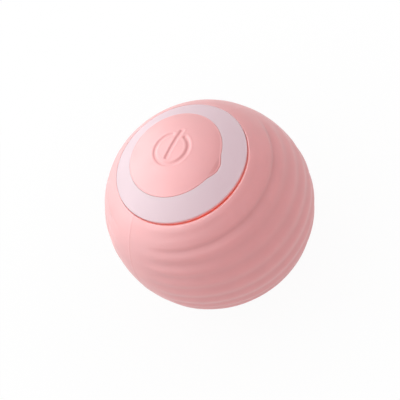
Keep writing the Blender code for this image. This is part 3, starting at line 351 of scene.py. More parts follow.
def end_tree(tree, geometry, material):
    """Ends a Geometry Nodes tree with plain mesh in one material."""
    real = add_node(tree, "GeometryNodeRealizeInstances", links={0: geometry})
    coated = add_node(tree, "GeometryNodeSetMaterial", links={"Geometry": real, "Material": material})
    add_node(tree, "NodeGroupOutput", links={0: coated})
    return tree


def bare_tree(holder):
    """The empty shader tree of a material or world."""
    holder.use_nodes = True
    holder.node_tree.nodes.clear()
    return holder.node_tree


def mark_painted_gap_glow(item, painted_glow_at):
    """Stores for the material how much painted glow each corner gets, standing in for light that comes through the
    silicone beside it.
    """
    recess = item.data.attributes.new("recess", "FLOAT", "POINT")
    for corner, value in zip(item.data.vertices, recess.data):
        value.value = painted_glow_at(corner.co)


def place(item, body, slot, *replaced):
    """Gives a finished piece its material, its body and the solids that it stands for."""
    if not item.data.materials:
        item.data.materials.append(finishes[slot])
    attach(item, body)
    if replaced:
        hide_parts(*replaced)


# ---------------------------------------------------------------- sizes and colours

class BallSizes(bpy.types.PropertyGroup):
    """The sizes of what the dressed ball adds to the solid model."""
    first_groove: bpy.props.FloatProperty(
        name="First groove", description="From the pole above the button to the first groove, over the surface",
        default=21.1 * MM, unit="LENGTH")
    ridge_pitch: bpy.props.FloatProperty(
        name="Ridge pitch", description="From one groove to the next over the surface",
        default=3.76 * MM, unit="LENGTH")
    ridge_depth: bpy.props.FloatProperty(
        name="Ridge depth", description="How far a groove lies below the ridges' crests",
        default=0.25 * MM, unit="LENGTH")
    ridge_crest: bpy.props.FloatProperty(
        name="Ridge crest", description="How far the crests stand over the plain ball",
        default=0.12 * MM, unit="LENGTH")
    groove_count: bpy.props.IntProperty(
        name="Grooves", description="Grooves in each of the two groups", default=8, min=1, max=12)
    ridge_span: bpy.props.FloatProperty(
        name="Ridge span", description="How far round the ball a group of ridges runs",
        default=math.radians(165), subtype="ANGLE")
    ridge_start: bpy.props.FloatProperty(
        name="Ridge start", description="Where the first group starts, from the X axis",
        default=math.radians(-100.5), subtype="ANGLE")
    ridge_fade: bpy.props.FloatProperty(
        name="Ridge fade", description="The stretch over which ridges run out at their ends",
        default=math.radians(22), subtype="ANGLE")
    ridge_squeeze: bpy.props.FloatProperty(
        name="Ridge squeeze", description="How much closer the ridges lie at the start of a group",
        default=0.18, subtype="FACTOR", min=0, max=0.5)
    parting_turn: bpy.props.FloatProperty(
        name="Parting line turn", description="Where the mould's parting line crosses, from the X axis",
        default=math.radians(73.5), subtype="ANGLE")
    parting_height: bpy.props.FloatProperty(
        name="Parting line height", description="How far the parting line stands up",
        default=0.06 * MM, unit="LENGTH")
    parting_width: bpy.props.FloatProperty(
        name="Parting line width", description="Half the width of the parting line at its foot",
        default=0.34 * MM, unit="LENGTH")
    lip_bead: bpy.props.FloatProperty(
        name="Lip bead", description="How far the sleeve's lip swells over the ball",
        default=0.12 * MM, unit="LENGTH")
    lip_dip: bpy.props.FloatProperty(
        name="Lip dip", description="How far the sleeve's lip turns down towards the gap",
        default=0.18 * MM, unit="LENGTH")
    lip_round: bpy.props.FloatProperty(
        name="Lip rounding", description="Radius of the sleeve's lip", default=0.5 * MM, unit="LENGTH")
    gap_depth: bpy.props.FloatProperty(
        name="Gap depth", description="How deep the gap beside the light ring looks",
        default=0.45 * MM, unit="LENGTH")
    symbol_radius: bpy.props.FloatProperty(
        name="Symbol radius", description="Radius of the power symbol's ring on the cap",
        default=3.5 * MM, unit="LENGTH")
    symbol_width: bpy.props.FloatProperty(
        name="Symbol width", description="Width of the power symbol's engraved line",
        default=0.9 * MM, unit="LENGTH")
    symbol_depth: bpy.props.FloatProperty(
        name="Symbol depth", description="Depth of the power symbol's engraved line",
        default=0.2 * MM, unit="LENGTH")
    nail_lip_reach: bpy.props.FloatProperty(
        name="Nail lip reach", description="How far the nail lip stands out past the cap's rim",
        default=0.5 * MM, unit="LENGTH")


class BallColours(bpy.types.PropertyGroup):
    """The colours that a user would change."""
    silicone: bpy.props.FloatVectorProperty(
        name="Silicone", description="Sleeve and button cap", default=linear("#DA8F91"),
        subtype="COLOR", size=3, min=0, max=1)
    # Painted glow: a deep red that stands in for light reaching the gap through the rubber
    painted_gap_glow_colour: bpy.props.FloatVectorProperty(
        name="Silicone in the gap", description="Silicone where light reaches only through it",
        default=linear("#FF7A5E"), subtype="COLOR", size=3, min=0, max=1)
    ring: bpy.props.FloatVectorProperty(
        name="Light ring", description="Milky diffuser plastic", default=linear("#DBC0C8"),
        subtype="COLOR", size=3, min=0, max=1)
    plastic: bpy.props.FloatVectorProperty(
        name="Inner plastic", description="Shells, deck and chassis", default=linear("#E4E4E1"),
        subtype="COLOR", size=3, min=0, max=1)
    board: bpy.props.FloatVectorProperty(
        name="Board", description="Solder mask of the circuit board", default=linear("#1F6B3F"),
        subtype="COLOR", size=3, min=0, max=1)


# ---------------------------------------------------------------- finishes

finishes = {}


def new_finish(slot, name):
    """An empty material for one of the record's slots, and the place of each of its points."""
    finishes[slot] = bpy.data.materials.new(name)
    tree = bare_tree(finishes[slot])
    return tree, add_node(tree, "ShaderNodeTexCoord").outputs["Object"]


def end_finish(tree, shader):
    """Ends a material with the shader that its surface shows."""
    add_node(tree, "ShaderNodeOutputMaterial", links={"Surface": shader})


def moulded_silicone(colours):
    """Matt silicone rubber from a blasted mould: soft edges to its shade, a very fine grain and no sharp gloss."""
    tree, where = new_finish("silicone_pink", "moulded matt silicone")
    # Pigment clouds a few millimetres across
    cloud = noise(tree, where, 4 * MM, 3.0)
    tint = drift(tree, cloud, 0.975, 1.02)
    mottled = scaled(tree, tuple(colours.silicone), tint)
    # Painted glow: the gap beside the ring is painted deep red, standing in for light that reaches it through the
    # rubber
    recess = attribute(tree, "recess")
    base = mixed_colour(tree, recess, mottled, (*colours.painted_gap_glow_colour, 1))
    # Painted shade: the silicone is darkened a little in proportion to how deep in a groove it lies, standing in
    # for shade in the creases
    groove = attribute(tree, "groove")
    painted_groove_shade = calc(tree, "MULTIPLY_ADD", groove, -0.05, 1.0)
    shade = scaled(tree, base, painted_groove_shade)
    # Blasted mould steel leaves 0.1 mm grain; 0.3 mm is the finest that a render this size can hold
    grain = noise(tree, where, 0.3 * MM, 2.0)
    bump = bumped(tree, grain, 0.35, 0.02 * MM)
    rough = drift(tree, cloud, 0.6, 0.68)
    shader = add_node(tree, "ShaderNodeBsdfPrincipled", links={
        "Base Color": shade, "Roughness": rough, "Normal": bump, "IOR": 1.41, "Specular IOR Level": 0.8,
        "Sheen Weight": 0.3, "Sheen Roughness": 0.6, "Subsurface Weight": 0.15,
        "Subsurface Radius": (1.0, 0.35, 0.3), "Subsurface Scale": 1.2 * MM})
    end_finish(tree, shader)


def milky_plastic(colours):
    """Milky diffuser polycarbonate: light goes in and comes out softened, so its shade is shallow and cool."""
    tree, where = new_finish("milky_plastic", "milky diffuser polycarbonate")
    cloud = noise(tree, where, 6 * MM, 2.0)
    tint = drift(tree, cloud, 0.985, 1.01)
    body = scaled(tree, tuple(colours.ring), tint)
    # Painted glow: the ring's outer wall beside the gap is painted the silicone's red, standing in for light that
    # crosses the gap
    recess = attribute(tree, "recess")
    base = mixed_colour(tree, recess, body, (*colours.painted_gap_glow_colour, 1))
    grain = noise(tree, where, 0.5 * MM, 1.0)
    bump = bumped(tree, grain, 0.2, 0.01 * MM)
    shader = add_node(tree, "ShaderNodeBsdfPrincipled", links={
        "Base Color": base, "Roughness": 0.66, "Normal": bump, "IOR": 1.45,
        "Subsurface Weight": 0.35, "Subsurface Radius": (1.0, 0.9, 0.95), "Subsurface Scale": 1.5 * MM})
    end_finish(tree, shader)


def moulded_plastic(slot, name, colour, roughness, grain_size, grain_depth, ior=1.5):
    """A moulded plastic: fine even grain, faint flow clouds in its colour and a satin to glossy skin."""
    tree, where = new_finish(slot, name)
    cloud = noise(tree, where, 5 * MM, 3.0)
    tint = drift(tree, cloud, 0.96, 1.03)
    base = scaled(tree, tuple(colour), tint)
    grain = noise(tree, where, grain_size, 2.0)
    bump = bumped(tree, grain, 0.4, grain_depth)
    rough = drift(tree, cloud, roughness - 0.05, roughness + 0.05)
    shader = add_node(tree, "ShaderNodeBsdfPrincipled", links={
        "Base Color": base, "Roughness": rough, "Normal": bump, "IOR": ior})
    end_finish(tree, shader)


def worked_metal(slot, name, colour, roughness, line_size, stretch, depth):
    """A metal whose working leaves marks: stretched noise for drawing and turning, even noise for casting."""
    tree, where = new_finish(slot, name)
    drawn = add_node(tree, "ShaderNodeMapping", links={"Vector": where, "Scale": stretch})
    marks = noise(tree, drawn, line_size, 3.0)
    cloud = noise(tree, where, 3 * MM, 4.0)
    tint = drift(tree, cloud, 0.9, 1.05)
    base = scaled(tree, tuple(colour), tint)
    bump = bumped(tree, marks, 0.4, depth)
    rough = drift(tree, marks, roughness - 0.07, roughness + 0.08)
    shader = add_node(tree, "ShaderNodeBsdfPrincipled", links={
        "Base Color": base, "Roughness": rough, "Normal": bump, "Metallic": 1.0})
    end_finish(tree, shader)


def solder_mask(colours):
    """Glass fibre board under green solder mask: a glossy film, copper tracks that show lighter under it."""
    tree, where = new_finish("board_green", "solder mask over copper tracks")
    # Tracks about 0.25 mm wide and 0.7 mm apart run square round the middles of 2.2 mm cells
    cells = add_node(tree, "ShaderNodeTexVoronoi", {"distance": "CHEBYCHEV", "feature": "F1"},
                     {"Vector": where, "Scale": 1 / (2.2 * MM), "Randomness": 1.0})
    bands = calc(tree, "PINGPONG", cells, 0.16)
    track = soft_ramp(tree, bands, 0.09, 0.12)
    lighter = tuple(min(1, c * 1.9 + 0.02) for c in colours.board)
    base = mixed_colour(tree, track, (*colours.board, 1), (*lighter, 1))
    bump = bumped(tree, track, 0.5, 0.03 * MM)
    shader = add_node(tree, "ShaderNodeBsdfPrincipled", links={
        "Base Color": base, "Roughness": 0.3, "Normal": bump, "IOR": 1.52, "Coat Weight": 0.4,
        "Coat Roughness": 0.15})
    end_finish(tree, shader)


def make_finishes(colours):
    """A material for each slot of the record."""
    moulded_silicone(colours)
    milky_plastic(colours)
    solder_mask(colours)
    # ABS from a textured mould is satin, with even grain of 0.25 mm
    moulded_plastic("white_abs", "satin moulded ABS", colours.plastic, 0.4, 0.25 * MM, 0.01 * MM)
    moulded_plastic("black_plastic", "glass filled nylon", linear("#2A2A2B"), 0.45, 0.3 * MM, 0.012 * MM)
    moulded_plastic("acetal_white", "moulded acetal", linear("#E3E2DC"), 0.33, 0.4 * MM, 0.004 * MM, 1.48)
    moulded_plastic("chip_black", "moulded chip epoxy", linear("#222224"), 0.55, 0.12 * MM, 0.01 * MM, 1.55)
    moulded_plastic("lamp_yellow", "phosphor resin", linear("#E8D98C"), 0.2, 0.2 * MM, 0.004 * MM, 1.53)
    moulded_plastic("lead_red", "red wire insulation", linear("#B8262A"), 0.3, 0.5 * MM, 0.004 * MM)
    moulded_plastic("lead_black", "black wire insulation", linear("#232323"), 0.3, 0.5 * MM, 0.004 * MM)
    # Drawn and turned metal shows fine lines along the way it was worked; cast metal shows an even grain
    worked_metal("steel", "drawn steel", linear("#C3C5C8"), 0.3, 0.3 * MM, (1, 1, 0.12), 0.004 * MM)
    worked_metal("brass", "stamped brass", linear("#D9BA7A"), 0.33, 0.3 * MM, (0.3, 1, 1), 0.004 * MM)
    worked_metal("cast_zinc", "die cast zinc", linear("#A6A8AB"), 0.48, 0.35 * MM, (1, 1, 1), 0.03 * MM)
    worked_metal("cell_foil", "laminated foil pouch", linear("#BCC0C6"), 0.34, 1.6 * MM, (1, 0.6, 1), 0.05 * MM)


# ---------------------------------------------------------------- silicone sleeve

def ridge_tree(values, material):
    """Geometry Nodes that press the grip ridges and raise the mould's parting line on a smooth sleeve."""
    tree, given = new_tree("grip_ridges", values)
    where = add_node(tree, "GeometryNodeInputPosition")
    parts = add_node(tree, "ShaderNodeSeparateXYZ", links={0: where}).outputs
    radius = vector_calc(tree, "LENGTH", where).outputs["Value"]
    upward = calc(tree, "DIVIDE", parts["Z"], radius)
    polar = calc(tree, "ARCCOSINE", upward)
    azimuth = calc(tree, "ARCTAN2", parts["Y"], parts["X"])
    from_start = calc(tree, "SUBTRACT", azimuth, given["Ridge start"])
    along = calc(tree, "FLOORED_MODULO", from_start, given["Group angle"])

    # Ridges run out at both ends of a group and lie closer together where it starts
    fade_from = calc(tree, "SUBTRACT", given["Ridge span"], given["Ridge fade"])
    rise = soft_ramp(tree, along, 0.0, given["Ridge fade"])
    fall = soft_ramp(tree, along, fade_from, given["Ridge span"], 1.0, 0.0)
    strength = calc(tree, "MULTIPLY", rise, fall)
    half_span = calc(tree, "MULTIPLY", given["Ridge span"], 0.5)
    leading = soft_ramp(tree, along, 0.0, half_span, 1.0, 0.0)
    trailing = soft_ramp(tree, along, given["Ridge span"], given["Group angle"])
    squeezed = calc(tree, "ADD", leading, trailing)
    drawn_in = calc(tree, "MULTIPLY", squeezed, given["Ridge squeeze"])
    kept = calc(tree, "SUBTRACT", 1.0, drawn_in)
    pitch_angle = calc(tree, "DIVIDE", given["Ridge pitch"], given["Ball radius"])
    pitch = calc(tree, "MULTIPLY", pitch_angle, kept)
    first = calc(tree, "DIVIDE", given["First groove"], given["Ball radius"])
    past_first = calc(tree, "SUBTRACT", polar, first)
    phase = calc(tree, "DIVIDE", past_first, pitch)

    # A wave from groove to groove, with a low shoulder before the first and after the last
    last_half = calc(tree, "ADD", given["Last groove"], 0.5)
    last_whole = calc(tree, "ADD", given["Last groove"], 1.0)
    enter = soft_ramp(tree, phase, -1.0, -0.5)
    leave = soft_ramp(tree, phase, last_half, last_whole, 1.0, 0.0)
    shoulder = calc(tree, "MULTIPLY", enter, leave)
    held = add_node(tree, "ShaderNodeClamp", links={"Value": phase, "Min": -0.5, "Max": last_half})
    turned = calc(tree, "MULTIPLY", held, FULL_TURN)
    wave = calc(tree, "COSINE", turned)
    groove = calc(tree, "MULTIPLY_ADD", wave, 0.5, 0.5)
    # The first groove of a group drops steeply from the plain ball, and the next ones are even waves
    narrowing = ramp(tree, phase, -0.05, 0.05, 5.0, 1.0)
    groove = calc(tree, "POWER", groove, narrowing)
    # It starts faint and deepens as it runs round
    later = soft_ramp(tree, phase, 0.35, 0.65)
    grown_in = soft_ramp(tree, along, 0.1, 1.2, 0.35, 1.8)
    full = add_node(tree, "ShaderNodeMix", links={"Factor": later, 2: grown_in, 3: 1.0})
    groove = calc(tree, "MULTIPLY", groove, full)
    raised = calc(tree, "MULTIPLY", shoulder, given["Ridge crest"])
    sunk = calc(tree, "MULTIPLY", groove, given["Ridge depth"])
    ridge = calc(tree, "SUBTRACT", raised, sunk)
    pressed = calc(tree, "MULTIPLY", ridge, strength)

    # The two halves of the mould meet in one plane through the Z axis, which leaves a fine raised line
    plane = add_node(tree, "ShaderNodeVectorRotate", {"rotation_type": "Z_AXIS"},
                     {"Vector": where, "Angle": given["Parting turn"]})
    plane = add_node(tree, "ShaderNodeSeparateXYZ", links={0: plane}).outputs
    aside = calc(tree, "ABSOLUTE", plane["Y"])
    # It is trimmed closer on one side of the ball, and right off where the ball rests
    trimmed = soft_ramp(tree, plane["X"], -3 * MM, 3 * MM, 1.0, 0.25)
    kept_on = soft_ramp(tree, upward, -0.99, -0.95)
    share = calc(tree, "MULTIPLY", trimmed, kept_on)
    height = calc(tree, "MULTIPLY", share, given["Parting height"])
    line = soft_ramp(tree, aside, 0.0, given["Parting width"], height, 0.0)
    lifted = calc(tree, "ADD", pressed, line)
    outside = calc(tree, "GREATER_THAN", radius, given["Middle of wall"])
    moved = calc(tree, "MULTIPLY", lifted, outside)
    outward = vector_calc(tree, "NORMALIZE", where)
    offset = scaled(tree, outward, moved)

    # What the material reads: how deep in a groove a point lies, for painted shade in the grooves, and how deep in
    # the gap beside the ring, for the painted glow there
    depth_share = calc(tree, "MULTIPLY", groove, strength)
    flat = vector_calc(tree, "MULTIPLY", where, (1, 1, 0))
    reach = vector_calc(tree, "LENGTH", flat).outputs["Value"]
    below = calc(tree, "SUBTRACT", given["Ball radius"], radius)
    deep = soft_ramp(tree, below, 0.3 * MM, 0.45 * MM)
    at_lip = calc(tree, "LESS_THAN", reach, given["Lip reach"])
    facing_up = calc(tree, "GREATER_THAN", parts["Z"], 0.0)
    at_gap = calc(tree, "MULTIPLY", at_lip, facing_up)
    painted_gap_glow_share = calc(tree, "MULTIPLY", deep, at_gap)
    shaped = add_node(tree, "GeometryNodeSetPosition", links={"Geometry": given["Geometry"], "Offset": offset})
    noted = add_node(tree, "GeometryNodeStoreNamedAttribute", {"data_type": "FLOAT", "domain": "POINT"},
                     {"Geometry": shaped, "Name": "groove", "Value": depth_share})
    marked = add_node(tree, "GeometryNodeStoreNamedAttribute", {"data_type": "FLOAT", "domain": "POINT"},
                      {"Geometry": noted, "Name": "recess", "Value": painted_gap_glow_share})
    return end_tree(tree, marked, material)


def sleeve_outline(angle, sizes):
    """The smooth sleeve's section: up the gap's wall, over the rounded lip, down outside and back up inside."""
    share = openness(angle)
    swell = sizes.lip_bead * share - 0.14 * MM * (1 - share)
    dip = sizes.lip_dip * share
    tilt = 2 * dip / DIP_WIDTH
    lip_round = sizes.lip_round * (0.1 + 0.9 * share)
    lip_reach = LIP_REACH + 0.15 * MM * share
    lip_radius = BALL_RADIUS + swell - dip
    middle_reach = lip_reach + lip_round
    middle_height = height_on_sphere(lip_radius - lip_round, middle_reach)
    lip_polar = math.atan2(middle_reach, middle_height)
    web_bottom = height_on_sphere(SLEEVE_INNER_RADIUS, WEB_REACH)
    web_top = height_on_sphere(lip_radius, lip_reach) - 0.06 * MM - (sizes.gap_depth - 0.06 * MM) * share
    web_top = min(web_top, middle_height - 0.03 * MM)
    outline = [(WEB_REACH, web_bottom), (WEB_REACH, web_top), (lip_reach, web_top + 0.04 * MM)]
    steps = 10
    for k in range(steps + 1):
        turn = math.pi - (math.pi / 2 + lip_polar - tilt) * k / steps
        outline.append((middle_reach + lip_round * math.cos(turn), middle_height + lip_round * math.sin(turn)))
    start, dip = math.atan2(*outline[-1]), BALL_RADIUS + swell - math.hypot(*outline[-1])
    fine_end, bead_end, fine, rows = start + DIP_WIDTH / BALL_RADIUS, math.radians(49), 10, 145
    polars = [start + (fine_end - start) * k / fine for k in range(1, fine)]
    polars += [fine_end + (math.pi - fine_end) * k / rows for k in range(rows)]
    for polar in polars:
        bead = swell * ease((bead_end - polar) / (bead_end - start))
        bead -= dip * max(0.0, (fine_end - polar) / (fine_end - start)) ** 2
        outline.append(((BALL_RADIUS + bead) * math.sin(polar), (BALL_RADIUS + bead) * math.cos(polar)))
    outline += [(0, -BALL_RADIUS), (0, -SLEEVE_INNER_RADIUS)]
    inside_polar = math.asin(WEB_REACH / SLEEVE_INNER_RADIUS)
    inside_rows = 24
    for k in range(inside_rows - 1, 0, -1):
        polar = inside_polar + (math.pi - inside_polar) * k / inside_rows
        outline.append((SLEEVE_INNER_RADIUS * math.sin(polar), SLEEVE_INNER_RADIUS * math.cos(polar)))
    return outline


def sleeve_angles(sizes):
    """Even steps round the ball, with finer ones where the parting line runs."""
    step = sizes.parting_width / 2 / BALL_RADIUS
    fine = [sizes.parting_turn + side * math.pi + k * step for side in (0, 1) for k in range(-3, 4)]
    even = [angle for angle in turns(380)
            if all(abs(math.remainder(angle - line, FULL_TURN)) > step / 2 for line in fine)]
    return sorted(angle % FULL_TURN for angle in even + fine)


def make_sleeve(sizes):
    """The silicone sleeve, swept smooth first and then ridged."""
    shape = sweep(lambda angle: sleeve_outline(angle, sizes), sleeve_angles(sizes))
    sleeve = finish_mesh("sleeve_skin", shape, 60)
    values = {
        "Ball radius": BALL_RADIUS, "Middle of wall": (BALL_RADIUS + SLEEVE_INNER_RADIUS) / 2,
        "First groove": sizes.first_groove, "Ridge pitch": sizes.ridge_pitch, "Ridge depth": sizes.ridge_depth,
        "Ridge crest": sizes.ridge_crest, "Last groove": float(sizes.groove_count - 1),
        "Ridge span": sizes.ridge_span, "Ridge start": sizes.ridge_start, "Ridge fade": sizes.ridge_fade,
        "Ridge squeeze": sizes.ridge_squeeze, "Group angle": math.pi, "Parting turn": -sizes.parting_turn,
        "Parting height": sizes.parting_height, "Parting width": sizes.parting_width,
        "Lip reach": LIP_REACH + 0.5 * MM}
    run_tree(sleeve, ridge_tree(values, finishes["silicone_pink"]), values)
    place(sleeve, "ball", "silicone_pink", "silicone_sleeve")


# ---------------------------------------------------------------- button cap

NAIL_LIP_SPAN = math.radians(38)
NAIL_LIP_TURN = math.radians(-4)
NAIL_LIP_FAR = CAP_REACH + 0.7 * MM
SYMBOL_FIELD = 5.2 * MM


def crescent(angle, span):
    """One in the middle of the nail lip, easing to nothing at the ends of its span."""
    angle = math.remainder(angle - NAIL_LIP_TURN, FULL_TURN)
    return ease(1.15 * (1 - abs(2 * angle / span)))


def symbol_distance(x, y, sizes):
    """How far a point of the cap lies from the middle line of the power symbol: a broken ring and a bar."""
    gap = math.radians(26)
    from_top = abs(math.atan2(x, y))
    if from_top > gap:
        ring = abs(math.hypot(x, y) - sizes.symbol_radius)
    else:
        end_x, end_y = sizes.symbol_radius * math.sin(gap), sizes.symbol_radius * math.cos(gap)
        ring = math.hypot(abs(x) - end_x, y - end_y)
    bar = math.hypot(x, y - min(max(y, -2.1 * MM), 4.4 * MM))
    return min(ring, bar)


def symbol_offset(x, y, sizes):
    """Depth of the engraved line, with its soft shoulder that stands up a little on either side."""
    far = symbol_distance(x, y, sizes) / (sizes.symbol_width / 2)
    sunk = 1 - ease((far - 0.3) / 0.9)
    swell = 1 - ease(abs(far - 1.7) / 0.6)
    return -sizes.symbol_depth * sunk + 0.03 * MM * swell


def cap_outline(angle, sizes):
    """The cap's section at an angle: dome, rim or nail lip, skirt, and back along the inside to the pip."""
    bulge = crescent(angle, NAIL_LIP_SPAN)
    reach = CAP_REACH + sizes.nail_lip_reach * bulge
    ledge = 0.3 * MM * bulge
    outline = [(0, FACE_RADIUS)]
    fine = 64
    for k in range(1, fine + 1):
        r = SYMBOL_FIELD * k / fine
        outline.append((r, height_on_sphere(FACE_RADIUS, r)))
    # The dome's round edge runs on past the nail lip, which slopes down from it
    edge, drop = 0.3 * MM, (0.02 + 0.1 * openness(angle)) * MM
    step = CAP_REACH - 0.4 * MM
    reaches = [SYMBOL_FIELD + (step - SYMBOL_FIELD) * k / 17 for k in range(1, 18)]
    reaches += [step + (reach - edge - step) * k / 8 for k in range(1, 9)]
    for r in reaches:
        lift = -ledge * ease((r - step) / (0.9 * MM)) - 0.03 * MM * ease((r - reach + 1.2 * MM) / (1.2 * MM))
        outline.append((r, height_on_sphere(FACE_RADIUS, r) + lift))
    top = outline[-1][1]
    for k in range(1, 7):
        turn = math.pi / 2 * k / 6
        outline.append((reach - edge + edge * math.sin(turn),
                        top - 0.1 * MM * k / 6 - drop + drop * math.cos(turn)))
    under = height_on_sphere(FACE_RADIUS, NAIL_LIP_FAR) + 0.2 * MM - 0.5 * MM
    under = min(under, top - drop - 0.25 * MM)
    outline += [(reach, under + 0.05 * MM), (reach - 0.05 * MM, under), (CAP_REACH, under - 0.03 * MM)]
    low = 0.18 * MM
    for k in range(0, 5):
        turn = math.pi / 2 * k / 4
        outline.append((CAP_REACH - low + low * math.cos(turn), CAP_BOTTOM + low - low * math.sin(turn)))
    outline.append((CAP_SKIRT_BORE, CAP_BOTTOM))
    outline += sphere_arc(CAP_INNER_RADIUS, CAP_SKIRT_BORE, PIP_REACH, 12)
    outline += [(PIP_REACH, PIP_BOTTOM + 0.1 * MM), (PIP_REACH - 0.1 * MM, PIP_BOTTOM), (0, PIP_BOTTOM)]
    return outline


def make_cap(sizes):
    """The button cap with its engraved symbol, its lug and the strap's notch."""
    shape = sweep(lambda angle: cap_outline(angle, sizes), turns(256))
    for corner in shape.verts:
        x, y, z = corner.co
        if z > FACE_RADIUS - 0.8 * MM and math.hypot(x, y) < SYMBOL_FIELD:
            corner.co.z += symbol_offset(x, y, sizes)
    cap = finish_mesh("button_dome", shape, 50)
    # A lug inside the cap lies along the strap's end, and slides past it as the cap is pressed
    lo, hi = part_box("cap_tether")
    levels = [(hi.z - 0.2 * MM, -0.1 * MM), (hi.z - 0.1 * MM, 0), (CAP_INNER_RADIUS - 0.7 * MM, 0)]
    lug = finish_mesh("lug", loft(block_rings(0.9 * MM, hi.y - lo.y, 0.2 * MM, levels)), 45)
    cut(cap, shifted(lug, hi.x + 0.5 * MM), "UNION")
    # The strap runs out through a notch in the skirt
    levels = [(CAP_BOTTOM - 1.0 * MM, 0), (CAP_BOTTOM + 0.45 * MM, 0), (CAP_BOTTOM + 0.6 * MM, -0.15 * MM)]
    notch = finish_mesh("notch", loft(block_rings(4.0 * MM, hi.y - lo.y + 0.5 * MM, 0.3 * MM, levels)), 45)
    cut(cap, shifted(notch, -CAP_SKIRT_BORE - 1.5 * MM))
    smooth(cap, 50)
    # Painted glow: the rim wall beside the ring is painted a deeper pink, standing in for light that comes through
    # the rubber
    def painted_glow_at(point):
        at_rim = math.hypot(point.x, point.y) > CAP_REACH - 0.2 * MM
        return 0.2 * ease((FACE_RADIUS - 0.15 * MM - point.length) / (0.15 * MM)) if at_rim else 0.0

    mark_painted_gap_glow(cap, painted_glow_at)
    place(cap, "cap", "silicone_pink", "button_cap")


# ---------------------------------------------------------------- light ring

def ring_outline(angle, nail_lip_reach):
    """The ring's section at an angle, with the scoop under the nail lip."""
    floor = height_on_sphere(FACE_RADIUS + 0.2 * MM, NAIL_LIP_FAR) - 0.5 * MM - 0.65 * MM
    bulge = crescent(angle, NAIL_LIP_SPAN)
    bore_top = RING_BORE + (nail_lip_reach + 0.1 * MM) * bulge
    outer_top = height_on_sphere(FACE_RADIUS, RING_REACH)
    outer_round, inner_round = (0.05 + 0.17 * openness(angle)) * MM, 0.05 * MM
    outline = rounded([
        (SKIRT_BORE, RING_BOTTOM, 0.1 * MM), (SKIRT_REACH, RING_BOTTOM, 0.1 * MM),
        (SKIRT_REACH, height_on_sphere(SLEEVE_INNER_RADIUS, SKIRT_REACH), 0),
        (RING_REACH, height_on_sphere(SLEEVE_INNER_RADIUS, RING_REACH), 0)], 2)
    outline.append((RING_REACH, outer_top - 1.0 * MM))
    slope = math.atan2(RING_REACH, outer_top)
    middle = (RING_REACH - outer_round, height_on_sphere(FACE_RADIUS - outer_round, RING_REACH - outer_round))
    for k in range(0, 8):
        turn = (math.pi / 2 - slope) * k / 7
        outline.append((middle[0] + outer_round * math.cos(turn), middle[1] + outer_round * math.sin(turn)))
    start = outline[-1][0]
    for k in range(1, 22):
        r = start + (bore_top + inner_round - start) * k / 21
        outline.append((r, height_on_sphere(FACE_RADIUS, r)))
    rim = outline[-1][1]
    outline += quarter(bore_top + inner_round, rim - inner_round, -inner_round, inner_round, 4, 1)
    outline += [(bore_top, floor + 0.1 * MM), (bore_top - 0.05 * MM * bulge, floor),
                (RING_BORE, floor - 0.02 * MM), (RING_BORE, LEDGE_TOP), (LEDGE_REACH, LEDGE_TOP),
                (LEDGE_REACH, LEDGE_BOTTOM), (SKIRT_BORE, LEDGE_BOTTOM)]
    return outline


def make_ring(sizes):
    """The milky ring with the scoop under the nail lip."""
    shape = sweep(lambda angle: ring_outline(angle, sizes.nail_lip_reach), turns(256))
    ring = finish_mesh("diffuser_ring", shape, 50)
    top = height_on_sphere(FACE_RADIUS, RING_REACH) - 0.2 * MM

    # Painted glow: the ring's outer wall is painted red towards the gap where the sleeve stands open, standing in
    # for light from the silicone
    def painted_glow_at(point):
        outer = ease((math.hypot(point.x, point.y) - RING_REACH + 0.1 * MM) / (0.1 * MM))
        return openness(math.atan2(point.y, point.x)) * outer * ease((top + 0.1 * MM - point.z) / (0.3 * MM))

    mark_painted_gap_glow(ring, painted_glow_at)
    place(ring, "ball", "milky_plastic", "light_ring")


# ---------------------------------------------------------------- cap strap

def make_strap():
    """One silicone strap from its barb under the deck up to the cap."""
    lo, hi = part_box("cap_anchor")
    x, half_x, half_y = (lo.x + hi.x) / 2, 0.35 * MM, 1.5 * MM
    barb_x, barb_y, barb_top = 0.65 * MM, 2.2 * MM, lo.z + 0.9 * MM
    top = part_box("cap_tether")[1].z
    rows = [(lo.z, barb_x - 0.15 * MM, barb_y - 0.3 * MM), (lo.z + 0.15 * MM, barb_x, barb_y - 0.1 * MM),
            (barb_top - 0.25 * MM, barb_x, barb_y), (barb_top, barb_x - 0.1 * MM, barb_y - 0.05 * MM),
            (barb_top, half_x, half_y)]
    steps = 32
    rows += [(barb_top + (top - barb_top) * k / steps, half_x, half_y) for k in range(1, steps + 1)]
    rings = []
    for z, a, b in rows:
        corner = min(a, b) * 0.5
        outline = rounded([(-a, -b, corner), (a, -b, corner), (a, b, corner), (-a, b, corner)], 4)
        rings.append([(x + px, py, z) for px, py in outline])
    strap = finish_mesh("cap_strap_silicone", loft(rings), 45)
    strap.data.materials.append(finishes["silicone_pink"])
    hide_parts("cap_tether", "cap_anchor")
    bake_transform(strap)


# ---------------------------------------------------------------- shapes of the small pieces

def grown(outline, distance):
    """A closed outline moved outwards, corner by corner."""
    count = len(outline)
    area = sum(outline[k - 1][0] * outline[k][1] - outline[k][0] * outline[k - 1][1] for k in range(count))
    side = distance * math.copysign(1, area)
    moved = []
    for k, (x, y) in enumerate(outline):
        along = (Vector(outline[(k + 1) % count]) - Vector(outline[k - 1])).normalized()
        moved.append((x + side * along.y, y - side * along.x))
    return moved


def edge_rings(outline, bottom, top, edge, steps=3):
    """Rings of a plate from bottom to top, rounded at both ends."""
    rings = []
    for end, sign in ((bottom, 1), (top, -1)):
        for k in range(steps + 1):
            turn = math.pi / 2 * (k if sign > 0 else steps - k) / steps
            height = end + sign * edge * (1 - math.cos(turn))
            rings.append([(x, y, height) for x, y in grown(outline, edge * (math.sin(turn) - 1))])
    return rings


